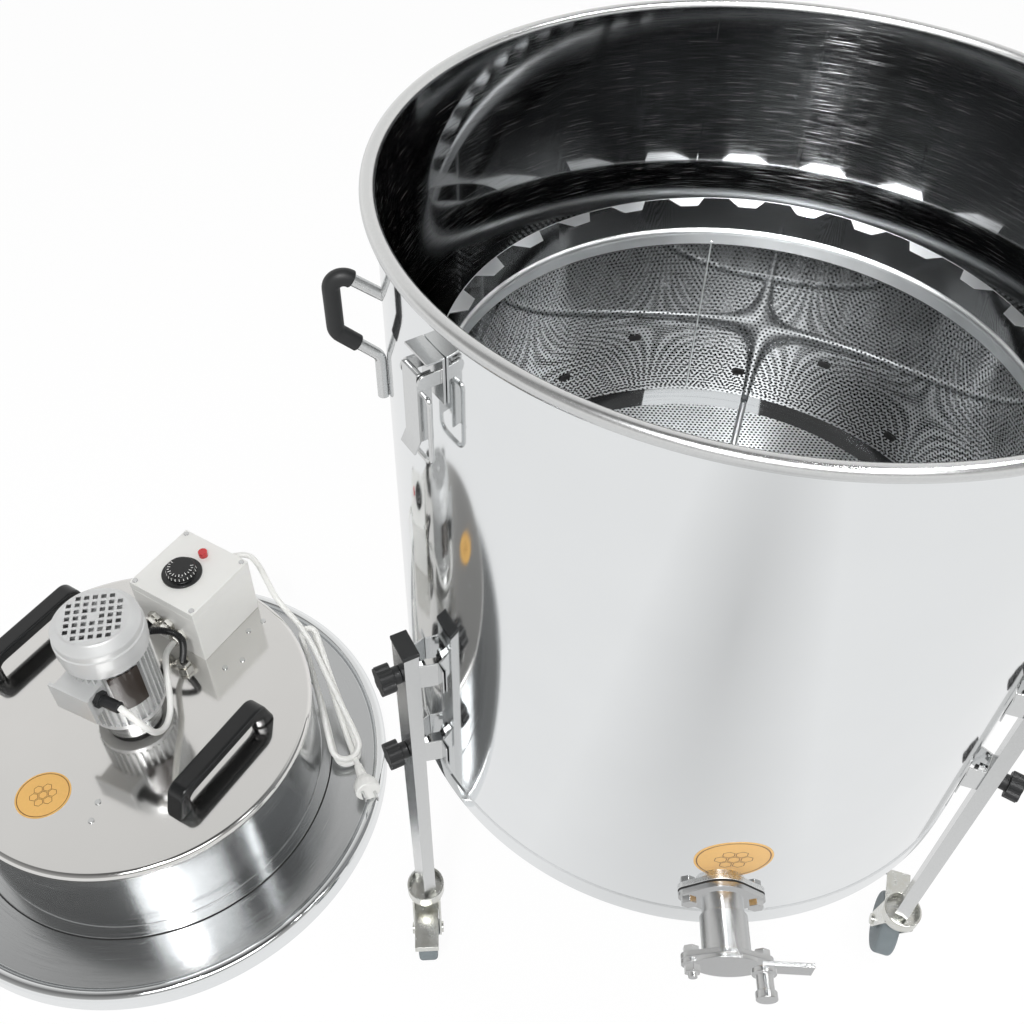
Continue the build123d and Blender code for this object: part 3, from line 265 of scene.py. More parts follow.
@cache
def brim_sheet():
    """Stainless sheet, satin ground: mid grey as painted shade, the steel darkened to 0.64, its reflections drawn out
    soft.
    """
    base = shaded(colours().steel, 0.64)
    return ground_sheet("stainless_sheet_satin_brim", base, 0.7, 1.0, 120, (0.16, 0.28), 0.4)


@cache
def basket_sheet():
    """Stainless perforated sheet, bright: a mirror between the holes, its base colour darkened to 0.44 of the steel as
    painted shade.
    """
    base = shaded(colours().steel, 0.44)
    return ground_sheet("stainless_perforated_bright", base, 0.85, 0.6, 90, (0.03, 0.35), 0.28)


@cache
def floor_sheet():
    """Stainless perforated sheet, satin: pale and evenly lit, so that the holes stand out dark."""
    base = colours().steel
    return textured("stainless_perforated_satin", base, shaded(base, 0.93), (40, 2.0), (0.38, 0.46))


@cache
def satin_steel(name="stainless_bar_satin", low=0.2, high=0.32, factor=1.0):
    """Drawn stainless bar and tube: soft even shine with fine scuffs."""
    base = shaded(colours().satin_steel, factor)
    # Draw marks are about 0.1 mm; they are drawn at 2 mm so that they show
    scuffs = (2.0, 4.0)
    return textured(name, base, shaded(base, 0.88), scuffs, (low, high), bump=(scuffs, 0.02, 0.2))


@cache
def zinc_plate():
    """Pressed steel, zinc plated: bright and faintly mottled blue and straw."""
    dents = ((3, 2.0), 0.03, 0.3)
    return textured(
        "pressed_steel_zinc_plated", colours().zinc, linear("#cbc9bd"), (9, 3.0), (0.16, 0.34), bump=dents
    )


@cache
def nickel_brass():
    """Turned brass, nickel plated: clean bright shine, faintly warm."""
    return textured("brass_nickel_plated", linear("#dddcd8"), linear("#cdcbc4"), (4, 3.0), (0.1, 0.22))


@cache
def heater_tube():
    """Heater tube, heat-darkened stainless: brown-grey bands on a dull metal."""
    return textured("stainless_tube_heat_darkened", linear("#8a8078"), linear("#5d5149"), (18, 3.0), (0.3, 0.5))


@cache
def silver_enamel():
    """Cast aluminium under silver enamel: pale, softly glossy, with a fine cast pebble."""
    base = colours().motor
    # Casting pebble is about 0.5 mm; it is drawn at 2.2 mm so that it shows
    pebble = (2.2, 3.0)
    return textured(
        "cast_aluminium_silver_enamel", base, shaded(base, 0.9), (30, 2.0), (0.3, 0.46),
        {"Metallic": 0.35, "Coat Weight": 0.25}, pebble, (pebble, 0.12, 0.25),
    )


def moulded_plastic(name, base, low, high, grain, depth, vary):
    """Injection moulded plastic: an even colour with a fine grained skin."""
    # Mould grain is about 0.3 mm; it is drawn coarser so that it shows
    skin = (grain, 3.0)
    values = {"IOR": 1.5}
    return textured(name, base, shaded(base, vary), (25, 2.0), (low, high), values, skin, (skin, depth, 0.3))


@cache
def black_abs():
    """ABS, moulded glossy black: deep black with long clear highlights."""
    return moulded_plastic("abs_moulded_glossy_black", colours().black_plastic, 0.18, 0.3, 1.4, 0.03, 0.8)


@cache
def black_nylon():
    """Nylon, moulded matt black: knobs, caps and glands, a little grey where the light falls."""
    base = shaded(colours().black_plastic, 1.3)
    return moulded_plastic("nylon_moulded_matt_black", base, 0.4, 0.58, 1.4, 0.08, 0.75)


@cache
def grey_abs():
    """ABS, moulded pale grey: a smooth box with a soft shine."""
    return moulded_plastic("abs_moulded_pale_grey", colours().grey_plastic, 0.32, 0.42, 1.6, 0.04, 0.97)


@cache
def white_pvc():
    """PVC sheath, extruded white: a soft waxy shine."""
    return moulded_plastic("pvc_extruded_white", colours().white_plastic, 0.34, 0.46, 2.0, 0.05, 0.96)


@cache
def black_conduit():
    """Polyamide conduit, corrugated black: a row of small highlights on its ridges."""
    return moulded_plastic("polyamide_corrugated_black", colours().black_plastic, 0.3, 0.42, 1.0, 0.03, 0.8)


@cache
def black_rubber():
    """Rubber, moulded black: dull, hardly any shine."""
    return moulded_plastic("rubber_moulded_black", linear("#1b1b1b"), 0.65, 0.8, 0.9, 0.1, 0.8)


@cache
def grey_tread():
    """Rubber tread, moulded grey: dull with a dusty bloom."""
    return moulded_plastic("rubber_tread_grey", colours().tyre, 0.6, 0.75, 1.2, 0.12, 0.85)


@cache
def red_lens():
    """Polycarbonate, moulded red: a glossy clear-red cap."""
    base = colours().lamp
    values = {"IOR": 1.58, "Coat Weight": 0.6}
    return textured("polycarbonate_moulded_red", base, shaded(base, 0.75), (5, 2.0), (0.12, 0.2), values)


def foil_label(name, base, low=0.28, high=0.4):
    """Printed polyester foil: flat colour under a thin gloss, with a little paper-like mottle."""
    return textured(name, base, shaded(base, 0.88), (3.0, 4.0), (low, high), {"Coat Weight": 0.3})


def link(name, data, place=(0, 0, 0)):
    made = bpy.data.objects.new(name, data)
    made.location = place
    bpy.context.scene.collection.objects.link(made)
    return made


def dress(piece, body, slot, materials, *nodes):
    """Give a piece its materials and body, and hide the nodes it stands for; the slot is not used."""
    for material in materials if isinstance(materials, (list, tuple)) else [materials]:
        piece.data.materials.append(material)
    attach(piece, body)
    if nodes:
        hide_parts(*nodes)
    return piece


def smooth(mesh, angle=35):
    mesh.shade_smooth()
    mesh.set_sharp_from_angle(angle=radians(angle))


def even_shading(piece):
    """Let the large faces set the shading, so that narrow roundings don't bend it."""
    even = piece.modifiers.new("shading", "WEIGHTED_NORMAL")
    even.keep_sharp = True


def from_bmesh(name, shape, place=(0, 0, 0), angle=35):
    """Object from a bmesh, shaded smooth but for its sharp edges."""
    mesh = bpy.data.meshes.new(name)
    bmesh.ops.recalc_face_normals(shape, faces=shape.faces)
    shape.to_mesh(mesh)
    shape.free()
    smooth(mesh, angle)
    piece = link(name, mesh, place)
    even_shading(piece)
    return piece


def fillet(corners, steps=5):
    """Outline of (x, y, radius) corners, each rounded off."""
    outline = []
    count = len(corners)
    for index, (x, y, radius) in enumerate(corners):
        here = Vector((x, y))
        if radius <= 0:
            outline.append((x, y))
            continue
        before = (Vector(corners[index - 1][:2]) - here).normalized()
        after = (Vector(corners[(index + 1) % count][:2]) - here).normalized()
        half = before.angle(after) / 2
        cut = radius / tan(half)
        start, end = here + before * cut, here + after * cut
        hub = here + (before + after).normalized() * (radius / sin(half))
        for step in range(steps + 1):
            toward = (start - hub).lerp(end - hub, step / steps).normalized() * radius
            outline.append(tuple(hub + toward))
    return outline


def circle(count):
    """Points round a unit circle."""
    return [(cos(2 * pi * k / count), sin(2 * pi * k / count)) for k in range(count)]


def pairs(line):
    """Each item of a closed line with the one after it."""
    return zip(line, line[1:] + line[:1])


def join(shape, near, far):
    """Faces between two closed rings of vertices."""
    for (a, b), (c, d) in zip(pairs(near), pairs(far)):
        shape.faces.new((a, c, d, b))


def rolled(hub, radius, start, sweep, turns):
    """Outline points round a rolled bead, from an angle through a sweep."""
    swings = [start - sweep * k / turns for k in range(1, turns + 1)]
    return [(hub[0] + radius * cos(swing), hub[1] + radius * sin(swing)) for swing in swings]


def lathe(name, outline, place, steps, marks=None, closed=True, angle=35):
    """Spin (radius, height) points round an upright line through place; marks gives the material of each side."""
    shape = bmesh.new()
    layer = shape.loops.layers.uv.new("UVMap")
    count = len(outline)
    widest = max(radius for radius, _ in outline)
    run = [0.0]
    for (r0, z0), (r1, z1) in pairs(outline):
        run.append(run[-1] + hypot(r1 - r0, z1 - z0))
    rings, on_axis = [], 1e-7
    for radius, height in outline:
        if radius < on_axis:
            rings.append([shape.verts.new((0, 0, height))] * steps)
        else:
            rings.append([shape.verts.new((radius * x, radius * y, height)) for x, y in circle(steps)])
    for side in range(count if closed else count - 1):
        low, high = rings[side], rings[(side + 1) % count]
        for k in range(steps):
            # A vertex on the axis is taken once
            corners = {}
            for line, column, end in ((low, k, 0), (low, k + 1, 0), (high, k + 1, 1), (high, k, 1)):
                corners.setdefault(line[column % steps], (column, end))
            if len(corners) < 3:
                continue
            face = shape.faces.new(list(corners))
            face.material_index = marks[side] if marks else 0
            for loop, (column, end) in zip(face.loops, corners.values()):
                loop[layer].uv = (2 * pi * widest * column / steps, run[side + end])
    return from_bmesh(name, shape, place, angle)


def aim(piece, direction, place):
    """Turn a lathed piece so that its axis runs along a direction from a place."""
    turn = Vector((0, 0, 1)).rotation_difference(Vector(direction).normalized())
    piece.data.transform(Matrix.Translation(place) @ turn.to_matrix().to_4x4())
    piece.location = (0, 0, 0)
    return piece


def polar(axis, angle, radius, height):
    return Vector((axis.x + radius * cos(radians(angle)), axis.y + radius * sin(radians(angle)), height))


def finished(node, body, slot, material, edge=None, segments=2):
    """Copy of a CAD node with its edges rounded, by so many millimetres or the usual size, in the node's place."""
    shape = bmesh.new()
    shape.from_mesh(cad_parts[node].data)
    bmesh.ops.remove_doubles(shape, verts=shape.verts, dist=1e-6)
    bmesh.ops.dissolve_limit(shape, angle_limit=radians(0.3), verts=shape.verts, edges=shape.edges)
    shape.verts.index_update()
    mesh = bpy.data.meshes.new(node + "_finished")
    mesh.from_pydata(
        [vert.co[:] for vert in shape.verts], [], [[vert.index for vert in face.verts] for face in shape.faces]
    )
    shape.free()
    mesh.shade_smooth()
    piece = link(node + "_finished", mesh)
    rounding = piece.modifiers.new("edges", "BEVEL")
    rounding.width = sizes().edge if edge is None else edge * MM
    rounding.segments = segments
    rounding.limit_method = "ANGLE"
    rounding.angle_limit = radians(38)
    rounding.use_clamp_overlap = True
    rounding.miter_outer = "MITER_ARC"
    even_shading(piece)
    return dress(piece, body, slot, material, node)


def route_curve(name, route):
    """Curve with one smooth spline along a route."""
    curve = bpy.data.curves.new(name, "CURVE")
    curve.dimensions = "3D"
    spline = curve.splines.new("NURBS")
    spline.points.add(len(route) - 1)
    for point, place in zip(spline.points, route):
        point.co = (*place, 1)
    spline.order_u = 3
    spline.use_endpoint_u = True
    spline.resolution_u = 12
    return curve


def spline_line(route):
    """Points along a route's own smooth spline."""
    curve = route_curve("route", route)
    holder = bpy.data.objects.new("route", curve)
    mesh = bpy.data.meshes.new_from_object(holder)
    line = [vert.co.copy() for vert in mesh.vertices]
    bpy.data.objects.remove(holder)
    bpy.data.curves.remove(curve)
    bpy.data.meshes.remove(mesh)
    return line


def lead(name, route, size):
    """Round cable along a route's spline."""
    curve = route_curve(name, route)
    curve.bevel_depth = size / 2
    curve.bevel_resolution = 6
    curve.use_fill_caps = True
    return link(name, curve)


def tube(name, line, radii, sides):
    """Mesh tube whose radius changes along a line of points."""
    shape = bmesh.new()
    across = (line[1] - line[0]).orthogonal().normalized()
    rings = []
    for index, (place, radius) in enumerate(zip(line, radii)):
        ahead = (line[min(index + 1, len(line) - 1)] - line[max(index - 1, 0)]).normalized()
        across = (across - ahead * across.dot(ahead)).normalized()
        beside = ahead.cross(across)
        rings.append([shape.verts.new(place + (across * x + beside * y) * radius) for x, y in circle(sides)])
    for low, high in zip(rings, rings[1:]):
        for k in range(sides):
            shape.faces.new((low[k], low[(k + 1) % sides], high[(k + 1) % sides], high[k]))
    shape.faces.new(rings[0][::-1])
    shape.faces.new(rings[-1])
    return from_bmesh(name, shape)


def bar(name, start, end, radius, count, sides):
    """Straight round bar in count lengths."""
    return tube(name, [start.lerp(end, k / count) for k in range(count + 1)], [radius] * (count + 1), sides)


def peg(shape, wide, narrow, depth, matrix, sides):
    """Add a round peg to a shape; returns its vertices."""
    return bmesh.ops.create_cone(
        shape, cap_ends=True, segments=sides, radius1=wide, radius2=narrow, depth=depth, matrix=matrix
    )["verts"]


def block(shape, size, matrix):
    """Add a block to a shape."""
    bmesh.ops.create_cube(shape, size=1.0, matrix=matrix @ Matrix.Diagonal((*size, 1)))


def even_line(line, step):
    """The same line with points an even step apart."""
    marks = [0.0]
    for before, after in zip(line, line[1:]):
        marks.append(marks[-1] + (after - before).length)
    count = max(2, round(marks[-1] / step))
    even, index = [], 0
    for k in range(count + 1):
        want = marks[-1] * k / count
        while index < len(marks) - 2 and marks[index + 1] < want:
            index += 1
        part = (want - marks[index]) / max(marks[index + 1] - marks[index], 1e-9)
        even.append(line[index].lerp(line[index + 1], part))
    return even


def lid_point(x, y, z):
    return lid_axis + Vector((x, y, z)) * MM


# Routes of the leads, in millimetres from the lid's axis
mains_route = [
    (78.6, 235.5, 212), (86.5, 250.1, 212), (103.8, 257.3, 211.5), (121.7, 251.7, 208), (149, 212, 196),
    (162.6, 191.8, 188), (208, 163, 149),
]
hank_head = Vector((212, 156, 138))
hank_foot = Vector((288, 11, 38))
# The hank's turns: share of its length, sideways and outward, in millimetres
hank_turns = [
    (0.3, 7, 6), (0.6, 15, 4), (0.8, 20, 3), (0.889, 20, 3), (0.95, 8.3, 3), (0.95, -8.3, 3), (0.889, -20, 3),
    (0.8, -20, 2.5), (0.55, -15, 1), (0.25, -10, -1), (0.04, -9, -3.5), (-0.065, -9, -4.5), (-0.1, -2.3, -4.5),
    (-0.1, 7.3, -4.5), (-0.065, 14, -4.5), (0.04, 14, -4.5), (0.35, 13, -5.5), (0.65, 16, -6.5), (0.82, 17, -7),
    (0.938, 17, -7), (0.99, 7, -7), (0.99, -7, -7), (0.938, -17, -7), (0.82, -17, -7), (0.55, -12, -7.5),
    (0.25, -10, -9), (0.04, -8.5, -12.5), (-0.073, -8.5, -13.3), (-0.106, -2.2, -13.3), (-0.106, 6.7, -13.3),
    (-0.073, 13, -13.3), (0.04, 12, -13), (0.3, 10, -13.5), (0.6, 9, -15.5), (0.72, 9, -17.3), (0.816, 9, -17.2),
]
plug_start = Vector((298.5, 7.5, 42))
plug_course = Vector((22, -46, 11)).normalized()
motor_route = [
    (34.65, -74.4, 294), (47.6, -81.5, 291), (60.5, -86.5, 278), (65, -83, 262), (66, -73, 236), (67.5, -52, 213),
    (66, -26, 205), (61.5, -4, 212), (54, 19, 222), (42, 50, 221), (37.5, 71, 216), (42.45, 87.7, 213),
]
conduit_route = [
    (4.04, 108.1, 225), (-1, 91, 230), (10, 80, 244), (34, 79, 252), (56, 79, 246), (64, 75, 227), (54.1, 72.4, 191),
]


def run_length(line):
    return sum((after - before).length for before, after in zip(line, line[1:]))


class SeparatorStage(bpy.types.Operator):
    """Camera, floor, lamps and sky"""

    bl_idname = "separator.stage"
    bl_label = "Stage"

    def execute(self, context):
        scene = context.scene
        scene.view_settings.view_transform = "Standard"
        self.camera(scene)
        self.floor()
        self.sky(scene)
        tank = (0.35, 0.1, 0.6)
        self.lamp("front_softbox", (0.5, -2.1, 3.1), (0.1, 0.0, 0.4), 40, (2.4, 1.2))
        self.lamp("ceiling_lamp_1", (-0.15, -1.42, 2.9), tank, 34, (0.3, 0.3))
        # In front of the tank's mouth; it draws the upright streak on the wall inside
        self.lamp("shaded_lamp", tank_axis + Vector((-0.5, -1.2, 2.9)), tank_axis + Vector((0.1, 0.3, 0.93)), 2200)
        self.lamp("ceiling_lamp_2", (1.15, -0.5, 2.8), tank, 9, (0.25, 0.25))
        self.lamp("ceiling_lamp_3", (1.55, 0.1, 2.7), tank, 8, (0.25, 0.25))
        return {"FINISHED"}

    def camera(self, scene):
        """Camera solved from the photograph's outlines."""
        turn, pitch, roll = radians(1.53), radians(46.514), radians(1.606)
        ahead = Vector((-sin(turn) * cos(pitch), cos(turn) * cos(pitch), -sin(pitch)))
        level = Vector((cos(turn), sin(turn), 0))
        rise = level.cross(ahead)
        right = level * cos(roll) + rise * sin(roll)
        up = rise * cos(roll) - level * sin(roll)
        data = bpy.data.cameras.new("photo_camera")
        data.sensor_width = 36.0
        data.sensor_fit = "HORIZONTAL"
        data.lens = 37.92
        camera = bpy.data.objects.new("photo_camera", data)
        place = Matrix.Translation(tank_axis + Vector((-188.624, -767.1, 1443.2)) * MM)
        camera.matrix_world = place @ Matrix((right, up, -ahead)).transposed().to_4x4()
        scene.collection.objects.link(camera)
        scene.camera = camera

    def floor(self):
        """White paper that the camera sees as lit from all round, and that still takes the shadow."""
        shape = bmesh.new()
        bmesh.ops.create_grid(shape, x_segments=8, y_segments=8, size=9.0)
        floor = from_bmesh("studio_floor", shape, (0, 0, -0.5 * MM))
        made, tree, shader = new_material("studio_paper_white", colours().floor, {"Roughness": 0.9})
        path = add_node(tree, "ShaderNodeLightPath").outputs
        seen = path["Is Camera Ray"]
        for ray in ("Is Glossy Ray", "Is Transmission Ray"):
            both = {0: seen, 1: path[ray]}
            seen = add_node(tree, "ShaderNodeMath", None, both, operation="ADD", use_clamp=True).outputs[0]
        lit, side_grey, painted_shadow_grey = 0.95, 0.87, 0.62
        share = add_node(tree, "ShaderNodeMath", {1: lit}, {0: seen}, operation="MULTIPLY")
        # The steel sees it a little greyer, and greyest in a painted shadow of the camera stand in front, where the
        # camera stands
        place = add_node(tree, "ShaderNodeTexCoord").outputs["Object"]
        front = {"Location": (-0.7, 1.0, 0), "Scale": (2.3, 1.0, 1)}
        place = add_node(tree, "ShaderNodeMapping", front, {"Vector": place}).outputs["Vector"]
        stand_shadow = add_node(tree, "ShaderNodeTexGradient", None, {"Vector": place}, gradient_type="SPHERICAL")
        grey = spread(tree, stand_shadow.outputs["Fac"], side_grey, painted_shadow_grey)
        light = add_node(
            tree, "ShaderNodeMix", {"A": 1.0}, {"Factor": path["Is Glossy Ray"], "B": grey}, data_type="FLOAT"
        ).outputs["Result"]
        glow = add_node(tree, "ShaderNodeEmission", {"Color": (*colours().floor, 1)}, {"Strength": light})
        blend = add_node(
            tree, "ShaderNodeMixShader", None, {0: share.outputs[0], 1: shader.outputs[0], 2: glow.outputs[0]}
        )
        tree.links.new(blend.outputs[0], tree.nodes["Material Output"].inputs["Surface"])
        floor.data.materials.append(made)

    def sky(self, scene):
        """White at the horizon and behind the object, a dim room elsewhere, white to the camera."""
        world = bpy.data.worlds.new("studio")
        scene.world = world
        world.use_nodes = True
        tree = world.node_tree
        place = add_node(tree, "ShaderNodeTexCoord").outputs["Generated"]
        parts = add_node(tree, "ShaderNodeSeparateXYZ", None, {"Vector": place}).outputs
        # Grey levels by height, a little warm
        rooms = []
        for levels in (
            ((0.0, 1.0), (0.2, 0.85), (0.4, 0.4), (0.75, 0.3), (0.9, 0.2), (1.0, 0.08)),
            ((0.0, 1.0), (0.55, 0.92), (0.76, 0.84), (0.87, 0.76), (0.93, 0.4), (1.0, 0.1)),
        ):
            ramp = add_node(tree, "ShaderNodeValToRGB", None, {"Fac": parts["Z"]})
            stops = ramp.color_ramp.elements
            while len(stops) < len(levels):
                stops.new(0.5)
            for stop, (position, level) in zip(stops, levels):
                stop.position, stop.color = position, (level, level * 0.995, level * 0.985, 1)
            rooms.append(ramp.outputs["Color"])
        behind = add_node(
            tree, "ShaderNodeMapRange", {"From Min": 0.16, "From Max": 0.38}, {"Value": parts["Y"]},
            interpolation_type="SMOOTHSTEP",
        ).outputs["Result"]
        sides = {"Factor": behind, "A": rooms[0], "B": rooms[1]}
        blend = add_node(tree, "ShaderNodeMix", None, sides, data_type="RGBA").outputs["Result"]
        seen = add_node(tree, "ShaderNodeLightPath").outputs["Is Camera Ray"]
        white = add_node(
            tree, "ShaderNodeMix", {"B": (1, 1, 1, 1)}, {"Factor": seen, "A": blend}, data_type="RGBA"
        )
        tree.links.new(white.outputs["Result"], tree.nodes["Background"].inputs["Color"])

    def lamp(self, name, place, target, power, size=None):
        """Soft rectangular lamp of a size, or a narrow spot, aimed at a target."""
        data = bpy.data.lights.new(name, "AREA" if size else "SPOT")
        data.energy = power
        if size:
            data.shape = "RECTANGLE"
            data.size, data.size_y = size
        else:
            data.spot_size, data.spot_blend, data.shadow_soft_size = radians(9), 0.5, 0.06
        lamp = bpy.data.objects.new(name, data)
        lamp.location = place
        lamp.rotation_euler = (Vector(target) - Vector(place)).to_track_quat("-Z", "Y").to_euler()
        bpy.context.scene.collection.objects.link(lamp)


class SeparatorMainsCord(bpy.types.Operator):
    """Mains lead with its folded hank, relief sleeve and plug"""

    bl_idname = "separator.mains_cord"
    bl_label = "Mains cord"

    def execute(self, context):
        size = sizes().lead
        run = hank_foot - hank_head
        ahead = run.normalized()
        side = Vector((-run.y, run.x, 0)).normalized()
        outward = ahead.cross(side)
        route = [lid_point(*place) for place in mains_route]
        for share, across, out in hank_turns:
            route.append(lid_axis + (hank_head + run * share + side * across + outward * out) * MM)
        start = lid_axis + plug_start * MM
        route += [start - plug_course * 22 * MM, start + plug_course * 2 * MM]
        white = white_pvc()
        cord = lead("mains_cord", route, size)
        dress(cord, "lid", "white_cable", white, "mains_lead", "mains_hank")
        plug = self.plug(start)
        dress(plug, "lid", "white_plastic", [white, satin_steel("plug_pin_nickel", 0.12, 0.2)], "mains_plug")
        sleeve = self.relief(route)
        dress(sleeve, "lid", "white_cable", white)
        line = spline_line(route)
        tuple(route[0])
        run_length(line)
        return {"FINISHED"}

    def plug(self, start):
        """Ribbed neck, shouldered body and two round pins."""
        outline = [(0.0, 0.0), (5.4, 0.0)]
        for rib in range(6):
            low, wide = 1.5 + rib * 4.2, 5.8 + 0.35 * rib
            outline += [(wide, low), (wide, low + 2.6), (wide - 1.0, low + 2.9), (wide - 1.0, low + 3.9)]
        outline += [
            (9.5, 27.0), (12.0, 28.5), (14.6, 33), (17.6, 40), (18.4, 42.5), (18.5, 50.5), (18.0, 53), (16.8, 54),
            (0.0, 54),
        ]
        outline = [(radius * MM, height * MM) for radius, height in outline]
        body = lathe("mains_plug_body", outline, (0, 0, 0), 48, closed=False)
        shape = bmesh.new()
        shape.from_mesh(body.data)
        # The moulded body is flatter than it is wide
        shoulder, flatness = 26 * MM, 0.9
        for vert in shape.verts:
            if vert.co.z > shoulder:
                vert.co.y *= flatness
        pin, point = 2.4 * MM, 1.1 * MM
        for offset in (-9.5 * MM, 9.5 * MM):
            shank = peg(shape, pin, pin, 14 * MM, Matrix.Translation((offset, 0, 60.5 * MM)), 20)
            tip = peg(shape, pin, point, 4.5 * MM, Matrix.Translation((offset, 0, 69.75 * MM)), 20)
            for vert in shank + tip:
                for face in vert.link_faces:
                    face.material_index = 1
        shape.to_mesh(body.data)
        shape.free()
        smooth(body.data)
        return aim(body, plug_course, start)

    def relief(self, route):
        """Tapered sleeve with ring grooves where the lead leaves the gland."""
        line = even_line(spline_line(route), 1.0 * MM)[:25]
        wide, taper, groove = 7.2, 2.3, 0.7
        radii = []
        for index in range(len(line)):
            radius = wide - taper * index / (len(line) - 1)
            radii.append((radius - (groove if index % 4 == 3 else 0.0)) * MM)
        return tube("mains_relief", line, radii, 24)


class SeparatorLidLeads(bpy.types.Operator):
    """Motor lead, corrugated conduit and cable glands"""

    bl_idname = "separator.lid_leads"
    bl_label = "Lid leads"

    def execute(self, context):
        white, black, plated = white_pvc(), black_conduit(), nickel_brass()
        route = [lid_point(*place) for place in motor_route]
        cord = lead("motor_cord", route, sizes().lead)
        dress(cord, "lid", "white_cable", white, "motor_lead")
        line = spline_line(route)
        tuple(route[0])
        run_length(line)
        route = [lid_point(*place) for place in conduit_route]
        line = even_line(spline_line(route), sizes().ridge / 4)
        ridge = (1.0, 1.0, 0.84, 0.84)
        hose = tube("conduit_hose", line, [sizes().conduit / 2 * ridge[k % 4] for k in range(len(line))], 20)
        dress(hose, "lid", "black_plastic", black, "conduit")
        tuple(route[0])
        run_length(line)
        finished("cable_glands", "lid", "nickel_brass", plated, 0.6)
        finished("cord_glands", "lid", "black_plastic", black_nylon(), 0.8)
        return {"FINISHED"}


class SeparatorTankShell(bpy.types.Operator):
    """Tank wall with its rolled rim, hem, seam and outlet stub"""

    bl_idname = "separator.tank_shell"
    bl_label = "Tank shell"

    def execute(self, context):
        low, high = heights("tank_wall")
        bead = 6.0 * MM
        bead_r, bead_z = tank_r + bead, high - bead
        hem, fold = 25.0 * MM, 1.2 * MM
        seam_low = low + 60 * MM
        outline = [(tank_r, low), (tank_r, seam_low), (tank_r, bead_z - 2 * bead), (tank_r, bead_z)]
        rim = rolled((bead_r, bead_z), bead, pi, 1.42 * pi, 20)
        outline += rim + [
            (skin_r, rim[-1][1] - 0.6 * MM), (skin_r, bead_z - 4 * bead), (skin_r, low + hem + fold),
            (skin_r + fold, low + hem), (skin_r + fold, low + 0.6 * MM), (skin_r + 0.6 * MM, low),
        ]
        # Sides of the inner wall, of the rim and of the outer wall
        marks = [0] * 3 + [1] * (len(rim) + 1) + [2] * 6
        shell = lathe("tank_shell", outline, tank_axis, 256, marks, angle=50)
        satin = satin_steel("stainless_rim_rolled", 0.2, 0.3)
        # The inner wall takes the inner sheet, darkened as painted shade
        dress(shell, "tank", "polished_steel", [inner_sheet(), satin, polished_sheet()], "tank_wall")
        self.stub()
        self.seam(seam_low, bead_z - 1.5 * bead)
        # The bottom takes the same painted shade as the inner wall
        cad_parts["tank_bottom"].data.materials[0] = inner_sheet()
        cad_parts["basket_rests"].data.materials[0] = satin
        return {"FINISHED"}

    def stub(self):
        """Outlet stub with its two-bolt flange."""
        height = middle("outlet_gasket").z
        face = -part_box("outlet_gasket")[1][1] + tank_axis.y
        neck, back = 22.0 * MM, face - 5.0 * MM
        shape = bmesh.new()
        prism(shape, two_bolt_outline(28.0 * MM, 30.0 * MM, 9.5 * MM), back, face)
        prism(shape, [(neck * x, neck * z) for x, z in circle(48)], skin_r - 3 * MM, back + 0.2 * MM)
        stub = from_bmesh("outlet_stub_flange", shape)
        stub.data.transform(Matrix.Translation((tank_axis.x, tank_axis.y, height)))
        rounding = stub.modifiers.new("edges", "BEVEL")
        rounding.width, rounding.segments, rounding.limit_method = 0.6 * MM, 2, "ANGLE"
        # The polished wall shows no mirror image of it
        stub.visible_glossy = False
        dress(stub, "tank", "polished_steel", satin_steel("stainless_flange_satin", 0.22, 0.34))

    def seam(self, low, high):
        """Planished weld line down the back of the wall, inside and out."""
        shape = bmesh.new()
        back, half = radians(95), radians(0.14)
        for radius, lift in ((tank_r, -0.12 * MM), (skin_r, 0.12 * MM)):
            columns = []
            for k in range(5):
                angle = back + half * (k - 2) / 2
                reach = radius + lift * (1 - abs(k - 2) / 2)
                columns.append([shape.verts.new((reach * cos(angle), reach * sin(angle), z)) for z in (low, high)])
            for a, b in zip(columns, columns[1:]):
                shape.faces.new((a[0], b[0], b[1], a[1]))
        line = from_bmesh("tank_seam", shape, tank_axis)
        dress(line, "tank", "polished_steel", inner_sheet())


def two_bolt_outline(half, reach, end):
    """Diamond flange outline: a middle circle and two end circles in one taut band."""
    swing = atan2(sqrt(reach**2 - (half - end) ** 2), half - end)
    outline = []
    for hub, radius, start, stop in (
        (0.0, half, swing, pi - swing),
        (-reach, end, pi - swing, pi + swing),
        (0.0, half, pi + swing, 2 * pi - swing),
        (reach, end, -swing, swing),
    ):
        for k in range(13):
            angle = start + (stop - start) * k / 12
            outline.append((hub + radius * cos(angle), radius * sin(angle)))
    return outline


def prism(shape, outline, back, front):
    """Upright outline (x, z) pushed along -Y between two distances from the axis."""
    near = [shape.verts.new((x, -front, z)) for x, z in outline]
    far = [shape.verts.new((x, -back, z)) for x, z in outline]
    shape.faces.new(near)
    shape.faces.new(far[::-1])
    join(shape, near, far)


class SeparatorTankHandles(bpy.types.Operator):
    """Bent bar handles with their black grips"""

    bl_idname = "separator.tank_handles"
    bl_label = "Tank handles"

    def execute(self, context):
        finished("handle_bars", "tank", "bar_steel", satin_steel(), 0.3)
        finished("handle_grips", "tank", "black_rubber", black_nylon(), 2.2, 3)
        return {"FINISHED"}


class SeparatorLatches(bpy.types.Operator):
    """Toggle latches: plates, levers and wire bails"""

    bl_idname = "separator.latches"
    bl_label = "Latches"

    def execute(self, context):
        bright = satin_steel("pressed_steel_bright", 0.1, 0.2)
        finished("latch_plates", "tank", "latch_steel", bright, 0.4)
        for number in (1, 2, 3):
            for node in (f"latch_lever_{number}", f"latch_bail_{number}"):
                finished(node, node, "latch_steel", bright, 0.4)
        return {"FINISHED"}


